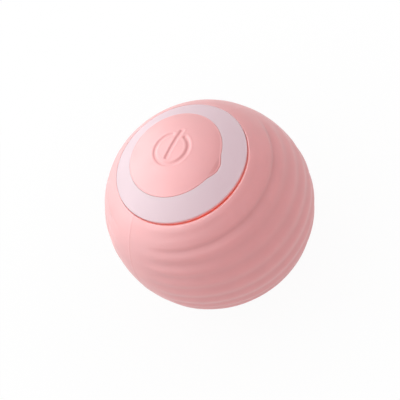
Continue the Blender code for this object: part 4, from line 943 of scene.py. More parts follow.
def circle(radius, count=64):
    """A round outline."""
    return [(radius * math.cos(a), radius * math.sin(a)) for a in turns(count)]


def stadium(width, height, steps=10):
    """A closed outline with two straight sides along X and round ends."""
    radius = height / 2
    ends = [(side, -math.pi / 2 + math.pi * k / steps) for side in (1, -1) for k in range(steps + 1)]
    return [(side * (width / 2 - radius + radius * math.cos(a)), side * radius * math.sin(a)) for side, a in ends]


def rectangle(width, height, corner, steps=4):
    """An outline with four equal rounded corners."""
    x, y = width / 2, height / 2
    return rounded([(-x, -y, corner), (x, -y, corner), (x, y, corner), (-x, y, corner)], steps)


def block_rings(width, depth, corner, levels):
    """Rings of a block whose sides step in or out, one for each (height, how far out)."""
    return [[(x, y, z) for x, y in rectangle(width + 2 * out, depth + 2 * out, max(corner + out, 0.03 * MM))]
            for z, out in levels]


def shifted(item, x=0.0, y=0.0, z=0.0, turn=0.0, about="Z"):
    """Moves a piece's mesh, which leaves its object at the origin."""
    item.data.transform(Matrix.Translation((x, y, z)) @ Matrix.Rotation(turn, 4, about))
    return item


def middle(node):
    """Where the middle of a solid lies, seen down the Z axis."""
    lo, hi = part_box(node)
    return (lo.x + hi.x) / 2, (lo.y + hi.y) / 2


def blank(name):
    """An object with no mesh yet, which a Geometry Nodes tree fills."""
    return new_object(name, bpy.data.meshes.new(name))


def smooth(item, degrees=35):
    """Shades a piece smooth but for its sharp corners."""
    item.data.shade_smooth()
    item.data.set_sharp_from_angle(angle=math.radians(degrees))
    return item


# ---------------------------------------------------------------- under the cap

def flared_tool(name, outline, x, y, bottom, top, flare):
    """A cutter for a hole whose edges are chamfered on both faces."""
    levels = [(bottom - OVERSHOOT, flare), (bottom, flare), (bottom + flare, 0), (top - flare, 0), (top, flare),
              (top + OVERSHOOT, flare)]
    rings = [[(x + a, y + b, z) for a, b in grown(outline, wider)] for z, wider in levels]
    return finish_mesh(name, loft(rings), 30)


def make_deck():
    """The plate under the cap: chamfered socket slot, switch hole and strap slot."""
    lo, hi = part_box("port_deck")
    reach = RING_BORE - 0.27 * MM
    deck = finish_mesh("deck_plate", loft(edge_rings(circle(reach, 128), lo.z, hi.z, 0.12 * MM)), 35)
    socket_x, socket_y = middle("usb_port_shell")
    stem_x, stem_y = middle("switch_plunger")
    strap_x, strap_y = middle("cap_tether")
    for tool in (
            flared_tool("slot", stadium(9.5 * MM, 3.72 * MM, 14), socket_x, socket_y, lo.z, hi.z, 0.22 * MM),
            flared_tool("hole", circle(2.0 * MM, 48), stem_x, stem_y, lo.z, hi.z, 0.18 * MM),
            flared_tool("strap", rectangle(1.3 * MM, 3.6 * MM, 0.3 * MM), strap_x, strap_y, lo.z, hi.z, 0.15 * MM)):
        cut(deck, tool)
    place(smooth(deck), "ball", "white_abs", "port_deck")


def make_stem():
    """The switch stem with a finger dish in its crowned end."""
    lo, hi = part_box("switch_plunger")
    r, edge = hi.x, 0.3 * MM
    outline = [(0, hi.z - 0.1 * MM), (0.5 * r, hi.z - 0.06 * MM), (0.7 * r, hi.z)]
    outline += quarter(r - edge, hi.z - edge, edge, edge, 6)
    outline += [(r, lo.z + 0.15 * MM), (r - 0.15 * MM, lo.z), (0, lo.z)]
    stem = finish_mesh("stem_post", sweep(lambda angle: outline, turns(64)), 35)
    place(stem, "switch_stem", "white_abs", "switch_plunger")


def lay_in_rows(tree, given, item, aside, material):
    """Lays a piece out along X, once on each side, moves both rows to their place and ends the tree."""
    gaps = calc(tree, "SUBTRACT", given["Count"], 1.0)
    span = calc(tree, "MULTIPLY", gaps, given["Pitch"])
    start = make_vector(tree, X=calc(tree, "MULTIPLY", span, -0.5), Y=aside)
    step = make_vector(tree, X=given["Pitch"])
    line = add_node(tree, "GeometryNodeMeshLine", links={
        "Count": given["Count"], "Start Location": start, "Offset": step})
    row = add_node(tree, "GeometryNodeInstanceOnPoints", links={"Points": line, "Instance": item})
    turned = transformed(tree, row, Rotation=(0, 0, math.pi))
    both = add_node(tree, "GeometryNodeJoinGeometry", links={0: [row, turned]})
    return end_tree(tree, transformed(tree, both, Translation=given["Place"]), material)


def contact_tree(values, material):
    """Geometry Nodes for two rows of flat contacts, one on each face of the socket's tongue."""
    tree, given = new_tree("socket_contacts", values)
    contact = add_node(tree, "GeometryNodeMeshCube", links={"Size": given["Contact size"]})
    return lay_in_rows(tree, given, contact, calc(tree, "MULTIPLY", given["Row distance"], 0.5), material)


def make_socket():
    """The upright USB-C socket: drawn shell with a rolled mouth, tongue, and twelve contacts a side."""
    lo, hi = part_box("usb_port_shell")
    tongue_lo, tongue_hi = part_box("usb_port_tongue")
    x, y = middle("usb_port_shell")
    outer, wall, roll = stadium(hi.x - lo.x, hi.y - lo.y, 14), 0.3 * MM, 0.15 * MM
    floor = lo.z + 0.8 * MM
    rings = [[(a, b, lo.z) for a, b in grown(outer, -0.12 * MM)], [(a, b, lo.z + 0.12 * MM) for a, b in outer]]
    for k in range(9):
        turn = math.pi * k / 8
        rings.append([(a, b, hi.z - roll + roll * math.sin(turn))
                      for a, b in grown(outer, -roll + roll * math.cos(turn))])
    rings += [[(a, b, floor + 0.1 * MM) for a, b in grown(outer, -wall)],
              [(a, b, floor) for a, b in grown(outer, -wall - 0.1 * MM)]]
    shell = shifted(finish_mesh("socket_shell", loft(rings), 40), x, y)
    place(shell, "ball", "steel", "usb_port_shell")

    width, thick = tongue_hi.x - tongue_lo.x, tongue_hi.y - tongue_lo.y
    outline = rectangle(width, thick, 0.14 * MM)
    tongue = finish_mesh("socket_tongue", loft(edge_rings(outline, tongue_lo.z, tongue_hi.z, 0.12 * MM)), 35)
    place(shifted(tongue, x, y), "ball", "black_plastic", "usb_port_tongue")

    length = 3.3 * MM
    values = {"Contact size": (0.26 * MM, 0.05 * MM, length), "Pitch": 0.5 * MM, "Count": 12,
              "Row distance": thick + 0.01 * MM, "Place": (x, y, tongue_hi.z - 0.45 * MM - length / 2)}
    contacts = run_tree(blank("socket_contacts"), contact_tree(values, finishes["brass"]), values)
    place(contacts, "ball", "brass")


# ---------------------------------------------------------------- screws

def screw_tree(values, material):
    """Geometry Nodes for a pan head screw that points up from the underside of its head, with rolled thread."""
    tree, given = new_tree("pan_head_screw", values)
    rounds = calc(tree, "DIVIDE", given["Shank length"], given["Thread pitch"])
    steps = calc(tree, "MULTIPLY", rounds, 6.0)
    depth = calc(tree, "MULTIPLY_ADD", given["Head height"], 0.5, given["Shank length"])
    rod = add_node(tree, "GeometryNodeMeshCylinder", links={
        "Vertices": 18, "Side Segments": steps, "Radius": given["Shank radius"], "Depth": depth})
    half_length = calc(tree, "MULTIPLY", given["Shank length"], 0.5)
    lift = calc(tree, "MULTIPLY_ADD", given["Head height"], -0.25, half_length)
    raised = make_vector(tree, Z=lift)
    rod = transformed(tree, rod, Translation=raised)

    # The thread is a wave that climbs one pitch a turn; it fades under the head and the tip tapers
    where = add_node(tree, "GeometryNodeInputPosition")
    parts = add_node(tree, "ShaderNodeSeparateXYZ", links={0: where}).outputs
    azimuth = calc(tree, "ARCTAN2", parts["Y"], parts["X"])
    climb = calc(tree, "DIVIDE", parts["Z"], given["Thread pitch"])
    phase = calc(tree, "MULTIPLY_ADD", climb, FULL_TURN, azimuth)
    wave = calc(tree, "COSINE", phase)
    wave = calc(tree, "MULTIPLY_ADD", wave, 0.5, 0.5)
    begun = soft_ramp(tree, parts["Z"], 0.1 * MM, 0.4 * MM)
    groove = calc(tree, "MULTIPLY", wave, begun)
    groove = calc(tree, "MULTIPLY", groove, given["Thread depth"])
    tip_start = calc(tree, "SUBTRACT", given["Shank length"], 0.45 * MM)
    tip = soft_ramp(tree, parts["Z"], tip_start, given["Shank length"], 0.0, 0.2 * MM)
    inward = calc(tree, "ADD", groove, tip)
    flat = vector_calc(tree, "MULTIPLY", where, (-1, -1, 0))
    flat = vector_calc(tree, "NORMALIZE", flat)
    offset = scaled(tree, flat, inward)
    shank = add_node(tree, "GeometryNodeSetPosition", links={"Geometry": rod, "Offset": offset})

    # The head's edge is drawn in as it rises, and a cross is sunk in it
    sunk_half = calc(tree, "MULTIPLY", given["Head height"], -0.5)
    lowered = make_vector(tree, Z=sunk_half)
    head = add_node(tree, "GeometryNodeMeshCylinder", links={
        "Vertices": 32, "Side Segments": 5, "Radius": given["Head radius"], "Depth": given["Head height"]})
    head = transformed(tree, head, Translation=lowered)
    top = calc(tree, "MULTIPLY", given["Head height"], -1.0)
    share = ramp(tree, parts["Z"], sunk_half, top)
    share = calc(tree, "POWER", share, 2.0)
    pull = calc(tree, "MULTIPLY", share, 0.22 * MM)
    drawn = scaled(tree, flat, pull)
    head = add_node(tree, "GeometryNodeSetPosition", links={"Geometry": head, "Offset": drawn})
    body = add_node(tree, "GeometryNodeMeshBoolean", {"operation": "UNION"}, {"Mesh 2": [head, shank]})
    at_top = make_vector(tree, Z=top)
    bar = add_node(tree, "GeometryNodeMeshCube", links={"Size": given["Recess size"]})
    bar = transformed(tree, bar, Translation=at_top)
    other = transformed(tree, bar, Rotation=(0, 0, math.pi / 2))
    body = add_node(tree, "GeometryNodeMeshBoolean", {"operation": "DIFFERENCE"},
                    {"Mesh 1": body, "Mesh 2": [bar, other]})
    placed = transformed(tree, body, Translation=given["Place"], Rotation=given["Turn"])
    return end_tree(tree, placed, material)


def make_screws():
    """Every screw of the solid model, with the size and place of its node."""
    head = 0.5 * MM
    screws = [(f"board_screw_{k}", True) for k in (1, 2)] + [(f"chassis_screw_{k}", False) for k in (1, 2, 3)]
    screws += [(f"gearbox_screw_{k}", False) for k in (1, 2)]
    for node, head_up in screws:
        lo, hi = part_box(node)
        x, y = middle(node)
        seat = hi.z - head if head_up else lo.z + head
        length = seat - lo.z if head_up else hi.z - seat
        values = {
            "Shank radius": 0.45 * MM, "Shank length": length, "Head radius": 1.05 * MM, "Head height": head,
            "Thread pitch": 0.4 * MM, "Thread depth": 0.1 * MM,
            "Recess size": (1.15 * MM, 0.26 * MM, 0.5 * MM), "Place": (x, y, seat),
            "Turn": (math.pi if head_up else 0.0, 0.0, 0.0)}
        item = run_tree(blank(node + "_threaded"), screw_tree(values, finishes["steel"]), values)
        place(smooth(item, 40), "ball", "steel", node)


# ---------------------------------------------------------------- circuit board parts

def leg_tree(values, material):
    """Geometry Nodes that lay one leg out in two rows, one on each side of its part."""
    tree, given = new_tree("leg_rows", values)
    return lay_in_rows(tree, given, given["Geometry"], 0.0, material)


def make_legs(name, count, pitch, width, metal, side, shoulder, foot, height, spot):
    """Two rows of legs, each one strip that runs out of its part, bends down and stands on a foot."""
    bend, toe, half, tight = side + shoulder, side + shoulder + foot, metal / 2, 0.05 * MM
    wide = tight + metal
    strip = rounded([(side, height - half, 0), (bend - half, height - half, tight), (bend - half, -half, wide),
                     (toe, -half, 0), (toe, half, 0), (bend + half, half, tight),
                     (bend + half, height + half, wide), (side, height + half, 0)], 3)
    leg = finish_mesh(name, loft([[(x, y, z) for y, z in strip] for x in (-width / 2, width / 2)]), 30)
    values = {"Count": count, "Pitch": pitch, "Place": spot}
    return run_tree(leg, leg_tree(values, finishes["steel"]), values)


def make_chip(node, count, pitch):
    """A moulded chip with drafted sides and a dimple at its first leg, and its legs down to the board."""
    lo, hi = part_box(node)
    x, y = middle(node)
    mid = (lo.z + hi.z) / 2
    levels = [(lo.z, -0.12 * MM), (mid - 0.08 * MM, 0), (mid + 0.08 * MM, 0), (hi.z - 0.04 * MM, -0.12 * MM),
              (hi.z, -0.16 * MM)]
    chip = finish_mesh(node + "_case", loft(block_rings(hi.x - lo.x, hi.y - lo.y, 0.2 * MM, levels)), 25)
    shifted(chip, x, y)
    dimple = [(lo.x + 0.6 * MM + a, lo.y + 0.6 * MM + b) for a, b in circle(0.22 * MM, 20)]
    cut(chip, prism("dimple", dimple, hi.z - 0.07 * MM, hi.z + 0.2 * MM))
    place(smooth(chip, 25), "ball", "chip_black", node)
    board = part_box("control_board")[1].z
    legs = make_legs(node + "_legs", count, pitch, 0.3 * MM, 0.14 * MM, (hi.y - lo.y) / 2 - 0.1 * MM, 0.35 * MM,
                     0.4 * MM, mid - board - 0.08 * MM, (x, y, board + 0.08 * MM))
    place(legs, "ball", "steel")


def make_board_parts():
    """The chips with their legs, the four lamps and the knock sensor's rolled can."""
    make_chip("control_chip", 8, 0.58 * MM)
    make_chip("charge_chip", 3, 0.9 * MM)
    for k in range(4):
        node = f"led_{k + 1}"
        lo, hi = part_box(node)
        x, y = middle(node)
        levels = [(0, 0), (0.42, 0), (0.45, -0.1), (0.6, -0.15), (0.72, -0.25), (0.78, -0.38), (0.8, -0.52)]
        levels = [(lo.z + height * MM, out * MM) for height, out in levels]
        lamp = finish_mesh(node + "_lamp", loft(block_rings(1.25 * MM, 2.0 * MM, 0.2 * MM, levels)), 40)
        place(shifted(lamp, x, y, turn=FULL_TURN * (k + 0.5) / 4), "ball", "lamp_yellow", node)
    lo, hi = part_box("vibration_sensor")
    x, y = middle("vibration_sensor")
    length, r = hi.y - lo.y, 1.25 * MM
    outline = [(0, 0.12 * MM), (0.75 * r, 0.12 * MM), (0.8 * r, 0), (0.94 * r, 0), (r, 0.07 * MM),
               (r, 0.55 * MM), (0.95 * r, 0.62 * MM), (0.95 * r, 0.78 * MM), (r, 0.85 * MM),
               (r, length - 0.2 * MM), (0.93 * r, length - 0.05 * MM), (0.8 * r, length), (0, length)]
    sensor = finish_mesh("sensor_can", sweep(lambda angle: outline, turns(48)), 35)
    shifted(sensor, x, lo.y, (lo.z + hi.z) / 2, turn=-math.pi / 2, about="X")
    place(sensor, "ball", "steel", "vibration_sensor")


# ---------------------------------------------------------------- drive

MODULE = 0.4 * MM
WHEEL_TEETH = 24
PINION_TEETH = 10


def tooth_reach(angle, teeth, turn):
    """How far a spur gear reaches at an angle: straight flanks, eased at the tip and the root."""
    pitch_radius = MODULE * teeth / 2
    root, tip = pitch_radius - 1.25 * MODULE, pitch_radius + 0.9 * MODULE
    root_half, tip_half = 0.725 * MODULE / root, 0.35 * MODULE / tip
    space = FULL_TURN / teeth
    off = abs(math.remainder(angle - turn, space))
    share = min(max((root_half - off) / (root_half - tip_half), 0.0), 1.0)
    return root + (tip - root - 0.01 * MM) * (share - 0.04 * math.sin(FULL_TURN * share))


def gear_section(angle, low, seat, top, bore, wheel_turn, pinion_turn):
    """Section of a wheel with its pinion under it, a thinned web, a hub and eased corners."""
    edge, thin = 0.06 * MM, 0.18 * MM
    wheel = tooth_reach(angle, WHEEL_TEETH, wheel_turn)
    rim, hub = 3.7 * MM, bore + 0.75 * MM
    outline = [(bore, low)]
    if low < seat:
        pinion = tooth_reach(angle, PINION_TEETH, pinion_turn)
        outline += [(pinion - edge, low), (pinion, low + edge), (pinion, seat)]
    else:
        outline += [(hub, low), (hub + 0.1 * MM, low + thin), (rim - 0.1 * MM, low + thin), (rim, low)]
    outline += [(wheel - edge, seat), (wheel, seat + edge), (wheel, top - edge), (wheel - edge, top),
                (rim, top), (rim - 0.1 * MM, top - thin), (hub + 0.1 * MM, top - thin), (hub, top), (bore, top)]
    return outline


def make_gears():
    """The three compound gears, the output gear and the motor's brass pinion."""
    half_wheel, half_pinion = math.pi / WHEEL_TEETH, math.pi / PINION_TEETH
    for node, body, bore, wheel_turn, pinion_turn in (
            ("gear_1", "first_gear", 0.8 * MM, half_wheel, half_pinion), ("gear_2", "second_gear", 0.8 * MM, 0, 0),
            ("gear_3", "third_gear", 0.8 * MM, half_wheel, half_pinion), ("output_gear", "weight", 1.2 * MM, 0, 0)):
        lo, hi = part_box(node)
        x = middle("side_pin")[0] if node in ("gear_1", "gear_3") else 0.0
        seat = hi.z - 1.0 * MM
        low = min(lo.z, seat)
        if seat - low < 0.1 * MM:
            low = seat
        shape = sweep(lambda angle: gear_section(angle, low, seat, hi.z, bore, wheel_turn, pinion_turn), turns(480))
        gear = shifted(finish_mesh(node + "_moulded", shape, 30), x)
        place(gear, body, "acetal_white", node)
    lo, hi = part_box("motor_pinion")
    bore, edge = 0.62 * MM, 0.06 * MM

    def section(angle):
        return pin_outline(tooth_reach(angle, PINION_TEETH, 0), lo.z, hi.z, edge, bore)

    pinion = finish_mesh("motor_pinion_cut", sweep(section, turns(240)), 30)
    place(pinion, "rotor", "brass", "motor_pinion")


def make_motor():
    """The motor's drawn can: flat sides, rounded shoulders, bearing boss and a rolled rear edge."""
    lo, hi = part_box("motor_can")
    front = lo.z + 0.8 * MM
    bore, bore_top = 0.68 * MM, front + 3.3 * MM

    def section(angle):
        reach = min(hi.y, hi.x / max(abs(math.cos(angle)), 1e-6))
        outline = [(0, hi.z - 0.2 * MM), (0, bore_top), (bore, bore_top), (bore, lo.z), (2.05 * MM, lo.z),
                   (2.2 * MM, lo.z + 0.15 * MM), (2.2 * MM, front)]
        outline += quarter(reach - 0.5 * MM, front + 0.5 * MM, 0.5 * MM, -0.5 * MM, 5)
        outline += [(reach, hi.z - 0.1 * MM), (reach - 0.1 * MM, hi.z), (reach - 0.4 * MM, hi.z),
                    (reach - 0.5 * MM, hi.z - 0.2 * MM)]
        return outline

    corner = math.acos(hi.x / hi.y)
    angles = sorted(turns(120) + [side * math.pi + sign * corner for side in (0, 1) for sign in (1, -1)],
                    key=lambda a: a % FULL_TURN)
    can = finish_mesh("motor_drawn_can", sweep(section, [a % FULL_TURN for a in angles]), 25)
    place(can, "ball", "steel", "motor_can")


def make_battery():
    """The pouch cell: a soft-edged foil body with a folded seal along its top."""
    lo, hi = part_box("battery")
    x, y = middle("battery")
    body_top = hi.z - 0.7 * MM
    outline = rectangle(hi.x - lo.x, hi.y - lo.y, 0.9 * MM, 5)
    rings = []
    rows = 16
    for k in range(rows + 1):
        share = k / rows
        end = min(share, 1 - share) * (body_top - lo.z)
        inset = 0.7 * MM * (1 - ease(end / (1.0 * MM))) ** 2
        z = lo.z + (body_top - lo.z) * share
        rings.append([(a, b, z) for a, b in grown(outline, -inset)])
    flap = rectangle(0.5 * MM, hi.y - lo.y - 0.8 * MM, 0.2 * MM, 5)
    rings += [[(a, b, body_top + 0.05 * MM) for a, b in flap], [(a, b, hi.z - 0.08 * MM) for a, b in flap],
              [(a, b, hi.z) for a, b in grown(flap, -0.08 * MM)]]
    pouch = shifted(finish_mesh("cell_pouch", loft(rings), 40), x, y)
    place(pouch, "ball", "cell_foil", "battery")


# ---------------------------------------------------------------- turned, stamped and cast pieces

def make_turned(name, node, body, slot, outline):
    """A turned piece about its own axis, with the chamfers that its section gives."""
    x, y = middle(node)
    item = finish_mesh(name, sweep(lambda angle: outline, turns(48)), 30)
    place(shifted(item, x, y), body, slot, node)


def pin_outline(radius, bottom, top, chamfer, bore=0):
    """A pin's section, or a collar's where it has a bore, with its outer edges chamfered."""
    return [(bore, bottom), (radius - chamfer, bottom), (radius, bottom + chamfer), (radius, top - chamfer),
            (radius - chamfer, top), (bore, top)]


def make_shafts():
    """The motor's shaft, the side pin, the two posts, the bush and the stepped output shaft with its clip."""
    edge = 0.08 * MM
    for node, body, radius in (("motor_shaft", "rotor", 0.5 * MM), ("side_pin", "ball", 0.6 * MM)):
        lo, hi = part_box(node)
        make_turned(node + "_ground", node, body, "steel", pin_outline(radius, lo.z, hi.z, edge))
    outer, bore = 1.1 * MM, 0.75 * MM
    for k in (1, 2):
        lo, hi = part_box(f"gearbox_post_{k}")
        outline = [(bore, lo.z + edge), (bore + edge, lo.z), (outer - edge, lo.z), (outer, lo.z + edge),
                   (outer, hi.z - edge), (outer - edge, hi.z), (bore + edge, hi.z), (bore, hi.z - edge)]
        make_turned(f"gearbox_post_{k}_turned", f"gearbox_post_{k}", "ball", "brass", outline)

    lo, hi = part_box("output_bush")
    bore, neck, flange, flange_top = 1.2 * MM, 2.0 * MM, 2.7 * MM, lo.z + 0.3 * MM
    outline = [(bore, lo.z + edge), (bore + edge, lo.z), (flange - edge, lo.z), (flange, lo.z + edge),
               (flange, flange_top), (neck, flange_top), (neck, hi.z - edge), (neck - edge, hi.z),
               (bore + edge, hi.z), (bore, hi.z - edge)]
    make_turned("output_bush_turned", "output_bush", "ball", "brass", outline)

    lo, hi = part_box("output_shaft")
    clip_lo, clip_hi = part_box("shaft_clip")
    thick, thin, groove = 1.0 * MM, 0.6 * MM, 0.84 * MM
    step, play = lo.z + 5.575 * MM, 0.03 * MM
    outline = [(0, lo.z), (thick - 2 * edge, lo.z), (thick, lo.z + 2 * edge), (thick, clip_lo.z - play),
               (groove, clip_lo.z - play), (groove, clip_hi.z + play), (thick, clip_hi.z + play),
               (thick, step - edge), (thick - edge, step), (thin, step), (thin, hi.z - edge), (thin - edge, hi.z),
               (0, hi.z)]
    make_turned("output_shaft_ground", "output_shaft", "weight", "steel", outline)

    # Three prongs of the open clip reach into the shaft's groove
    reach, edge = 2.3 * MM, 0.04 * MM
    half_span = math.radians(145)

    def section(angle):
        prong = max(ease(1 - abs(angle - at) / 0.35) for at in (-half_span, 0, half_span))
        inner = 1.45 * MM - 0.55 * MM * prong
        return pin_outline(reach, clip_lo.z, clip_hi.z, edge, inner)

    angles = [half_span * (k / 40 - 1) for k in range(81)]
    clip = finish_mesh("shaft_clip_stamped", sweep(section, angles, closed=False), 30)
    place(clip, "weight", "steel", "shaft_clip")


def lobed_outline(centres, radius, steps=10):
    """The tight outline round equal lobes, whose centres run anticlockwise."""
    outline = []
    for k, centre in enumerate(centres):
        before = Vector(centre) - Vector(centres[k - 1])
        after = Vector(centres[(k + 1) % len(centres)]) - Vector(centre)
        start = math.atan2(-before.x, before.y)
        span = (math.atan2(-after.x, after.y) - start) % FULL_TURN
        for step in range(steps + 1):
            angle = start + span * step / steps
            outline.append((centre[0] + radius * math.cos(angle), centre[1] + radius * math.sin(angle)))
    return outline


def make_plates():
    """The gearbox's two stamped plates and the round board, with eased edges and countersunk holes."""
    post_y, pin_x, tail_x, lobe = middle("gearbox_post_1")[1], middle("side_pin")[0], -3.2 * MM, 1.6 * MM
    outline = lobed_outline([(pin_x, 0), (0, abs(post_y)), (tail_x, 0), (0, -abs(post_y))], lobe)
    for node, centre_hole in (("motor_plate", 2.5 * MM), ("output_plate", 2.3 * MM)):
        lo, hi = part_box(node)
        plate = finish_mesh(node + "_stamped", loft(edge_rings(outline, lo.z, hi.z, 0.1 * MM)), 30)
        for x, y, radius in ((0, 0, centre_hole), (pin_x, 0, 0.8 * MM), (0, post_y, 0.75 * MM),
                             (0, -post_y, 0.75 * MM)):
            cut(plate, flared_tool("hole", circle(radius, 32), x, y, lo.z, hi.z, 0.06 * MM))
        place(smooth(plate), "ball", "brass", node)
    lo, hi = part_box("control_board")
    board = finish_mesh("board_routed", loft(edge_rings(circle(hi.x, 128), lo.z, hi.z, 0.05 * MM, 1)), 35)
    for screw in ("board_screw_1", "board_screw_2"):
        x, y = middle(screw)
        cut(board, flared_tool("hole", circle(0.75 * MM, 32), x, y, lo.z, hi.z, 0.04 * MM))
    place(smooth(board), "ball", "board_green", "control_board")


def make_switch():
    """The push switch: a moulded base, a pressed steel cover held by four rivet heads, and four legs."""
    lo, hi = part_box("tact_switch")
    side, bore, cover_bottom, cover_top = hi.x - lo.x, 2.0 * MM, hi.z - 0.35 * MM, hi.z - 0.08 * MM
    well = hi.z - 1.0 * MM
    levels = [(lo.z, -0.15 * MM), (lo.z + 0.1 * MM, 0), (cover_bottom - 0.02 * MM, 0)]
    base = finish_mesh("switch_base", loft(block_rings(side - 0.3 * MM, side - 0.3 * MM, 0.4 * MM, levels)), 30)
    cut(base, prism("well", circle(bore, 48), well, hi.z))
    place(smooth(base), "ball", "black_plastic", "tact_switch")

    levels = [(cover_bottom, 0), (cover_top - 0.06 * MM, 0), (cover_top, -0.06 * MM)]
    cover = finish_mesh("switch_cover", loft(block_rings(side, side, 0.5 * MM, levels)), 30)
    cut(cover, flared_tool("hole", circle(bore, 48), 0, 0, cover_bottom, cover_top, 0.05 * MM))
    rivet = [(0.42 * MM, cover_top - 0.1 * MM), (0.42 * MM, hi.z - 0.04 * MM), (0.36 * MM, hi.z), (0, hi.z),
             (0, cover_top - 0.1 * MM)]
    spread = side / 2 - 0.75 * MM
    for x in (-spread, spread):
        for y in (-spread, spread):
            head = finish_mesh("rivet", sweep(lambda angle: rivet, turns(24)), 30)
            cut(cover, shifted(head, x, y), "UNION")
    place(smooth(cover), "ball", "steel")

    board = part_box("control_board")[1].z
    legs = make_legs("switch_legs", 2, 4.5 * MM, 0.7 * MM, 0.2 * MM, side / 2 - 0.3 * MM, 0.45 * MM, 0.35 * MM,
                     1.2 * MM, (0.0, 0.0, board + 0.1 * MM))
    place(shifted(legs, turn=math.pi / 2), "ball", "steel")


def make_weight():
    """The die cast half bowl that tips the ball over: smooth outside, sloped foot, eased corners and a hub."""
    lo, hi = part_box("eccentric_weight")
    radius, bore, foot, edge = 17.2 * MM, 12.9 * MM, 10.1 * MM, 0.3 * MM
    floor_top, slope_top, hub_bore, hub = lo.z + 1.2 * MM, lo.z + 4.3 * MM, 1.2 * MM, 2.6 * MM
    low, high = math.asin(lo.z / radius), math.asin(hi.z / radius)
    rows, half_span, steps, corner = 36, math.radians(85), 80, 0.4 * MM
    arc = [(radius * math.cos(a), radius * math.sin(a)) for a in
           (low + (high - low) * k / rows for k in range(rows + 1))]
    section = rounded([(x, z, corner if k in (0, rows) else 0) for k, (x, z) in enumerate(arc)] + [
        (bore, hi.z, corner), (bore, slope_top, corner), (foot, floor_top, corner), (2.2 * MM, floor_top, 0),
        (2.2 * MM, lo.z, 0)], 4)
    middle_reach = 13 * MM

    def section_at(angle):
        from_end = min(max(half_span - abs(angle - math.pi), 0.0) * middle_reach / edge, 1.0)
        return grown(section, -edge * (1 - math.sqrt(1 - (1 - from_end) ** 2)))

    ends = [(1 - math.cos(math.pi / 2 * k / 4)) * edge / middle_reach for k in range(4)]
    inner_span = half_span - edge / middle_reach
    angles = [math.pi - half_span + a for a in ends]
    angles += [math.pi + inner_span * (2 * k / steps - 1) for k in range(steps + 1)]
    angles += [math.pi + half_span - a for a in reversed(ends)]
    weight = finish_mesh("weight_cast", sweep(section_at, angles, closed=False), 40)
    proud, eased = 0.05 * MM, 0.1 * MM
    bottom, top = lo.z - proud, floor_top + proud
    boss = pin_outline(hub, bottom, top, eased, hub_bore)
    cut(weight, finish_mesh("hub", sweep(lambda angle: boss, turns(64)), 30), "UNION")
    cut(weight, prism("bore", circle(hub_bore, 64), bottom - OVERSHOOT, top + OVERSHOOT))
    place(smooth(weight, 30), "weight", "cast_zinc", "eccentric_weight")


# ---------------------------------------------------------------- hard ball and frame

SHELL_REACH = SLEEVE_INNER_RADIUS - 0.3 * MM
SHELL_INSIDE = SHELL_REACH - 1.4 * MM
TONGUE_REACH = SHELL_INSIDE + 0.55 * MM
TONGUE_TOP = 1.6 * MM
SCREW_BORE = 0.75 * MM
FRAME_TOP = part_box("chassis")[1].z - 0.6 * MM
FRAME_BOTTOM = FRAME_TOP - 1.2 * MM


def post_tool(name, radius, bottom, top, x=0.0, y=0.0, chamfer=0.0):
    """An upright round post, for adding or for cutting."""
    outline = pin_outline(radius, bottom, top, max(chamfer, 0.01 * MM))
    return shifted(finish_mesh(name, sweep(lambda angle: outline, turns(40)), 30), x, y)


def make_shells():
    """The two halves of the hard ball, with the tongue and its groove and the three screw bosses."""
    lip, edge = PLAY / 2, 0.1 * MM
    tongue_inside = height_on_sphere(SHELL_INSIDE, TONGUE_TOP)
    section = [(TONGUE_REACH, -lip), (TONGUE_REACH, TONGUE_TOP - edge), (TONGUE_REACH - edge, TONGUE_TOP),
               (tongue_inside + edge, TONGUE_TOP), (tongue_inside, TONGUE_TOP - edge)]
    section += [(r, -z) for r, z in sphere_arc(SHELL_INSIDE, SHELL_INSIDE, 0, 32)]
    section += [(r, -z) for r, z in sphere_arc(SHELL_REACH, 0, height_on_sphere(SHELL_REACH, lip), 32)]
    lower = finish_mesh("lower_shell_moulded", sweep(lambda angle: section, turns(96)), 30)
    place(lower, "ball", "white_abs", "lower_shell")

    groove_reach, groove_top, opening = TONGUE_REACH + PLAY, TONGUE_TOP + PLAY, SKIRT_REACH + PLAY
    outline = [(groove_reach, lip)]
    outline += sphere_arc(SHELL_REACH, height_on_sphere(SHELL_REACH, lip), opening, 24)
    outline += sphere_arc(SHELL_INSIDE, opening, height_on_sphere(SHELL_INSIDE, groove_top), 20)
    outline.append((groove_reach, groove_top))
    upper = finish_mesh("upper_shell_moulded", sweep(lambda angle: outline, turns(96)), 30)
    boss, bottom = 1.4 * MM, FRAME_TOP + PLAY
    for k in (1, 2, 3):
        x, y = middle(f"chassis_screw_{k}")
        top = height_on_sphere(SHELL_REACH, math.hypot(x, y) + boss) - PLAY
        cut(upper, post_tool("boss", boss, bottom, top, x, y, edge), "UNION")
        cut(upper, post_tool("bore", SCREW_BORE, bottom - OVERSHOOT, bottom + 2.9 * MM, x, y))
    place(smooth(upper, 30), "ball", "white_abs", "upper_shell")


def flatted(radius, flat, steps=24):
    """A circle's outline with two flat sides that face along X."""
    corner = math.acos(flat / radius)
    angles = [side + corner + (math.pi - 2 * corner) * k / steps for side in (0, math.pi) for k in range(steps + 1)]
    return [(radius * math.cos(a), radius * math.sin(a)) for a in angles]


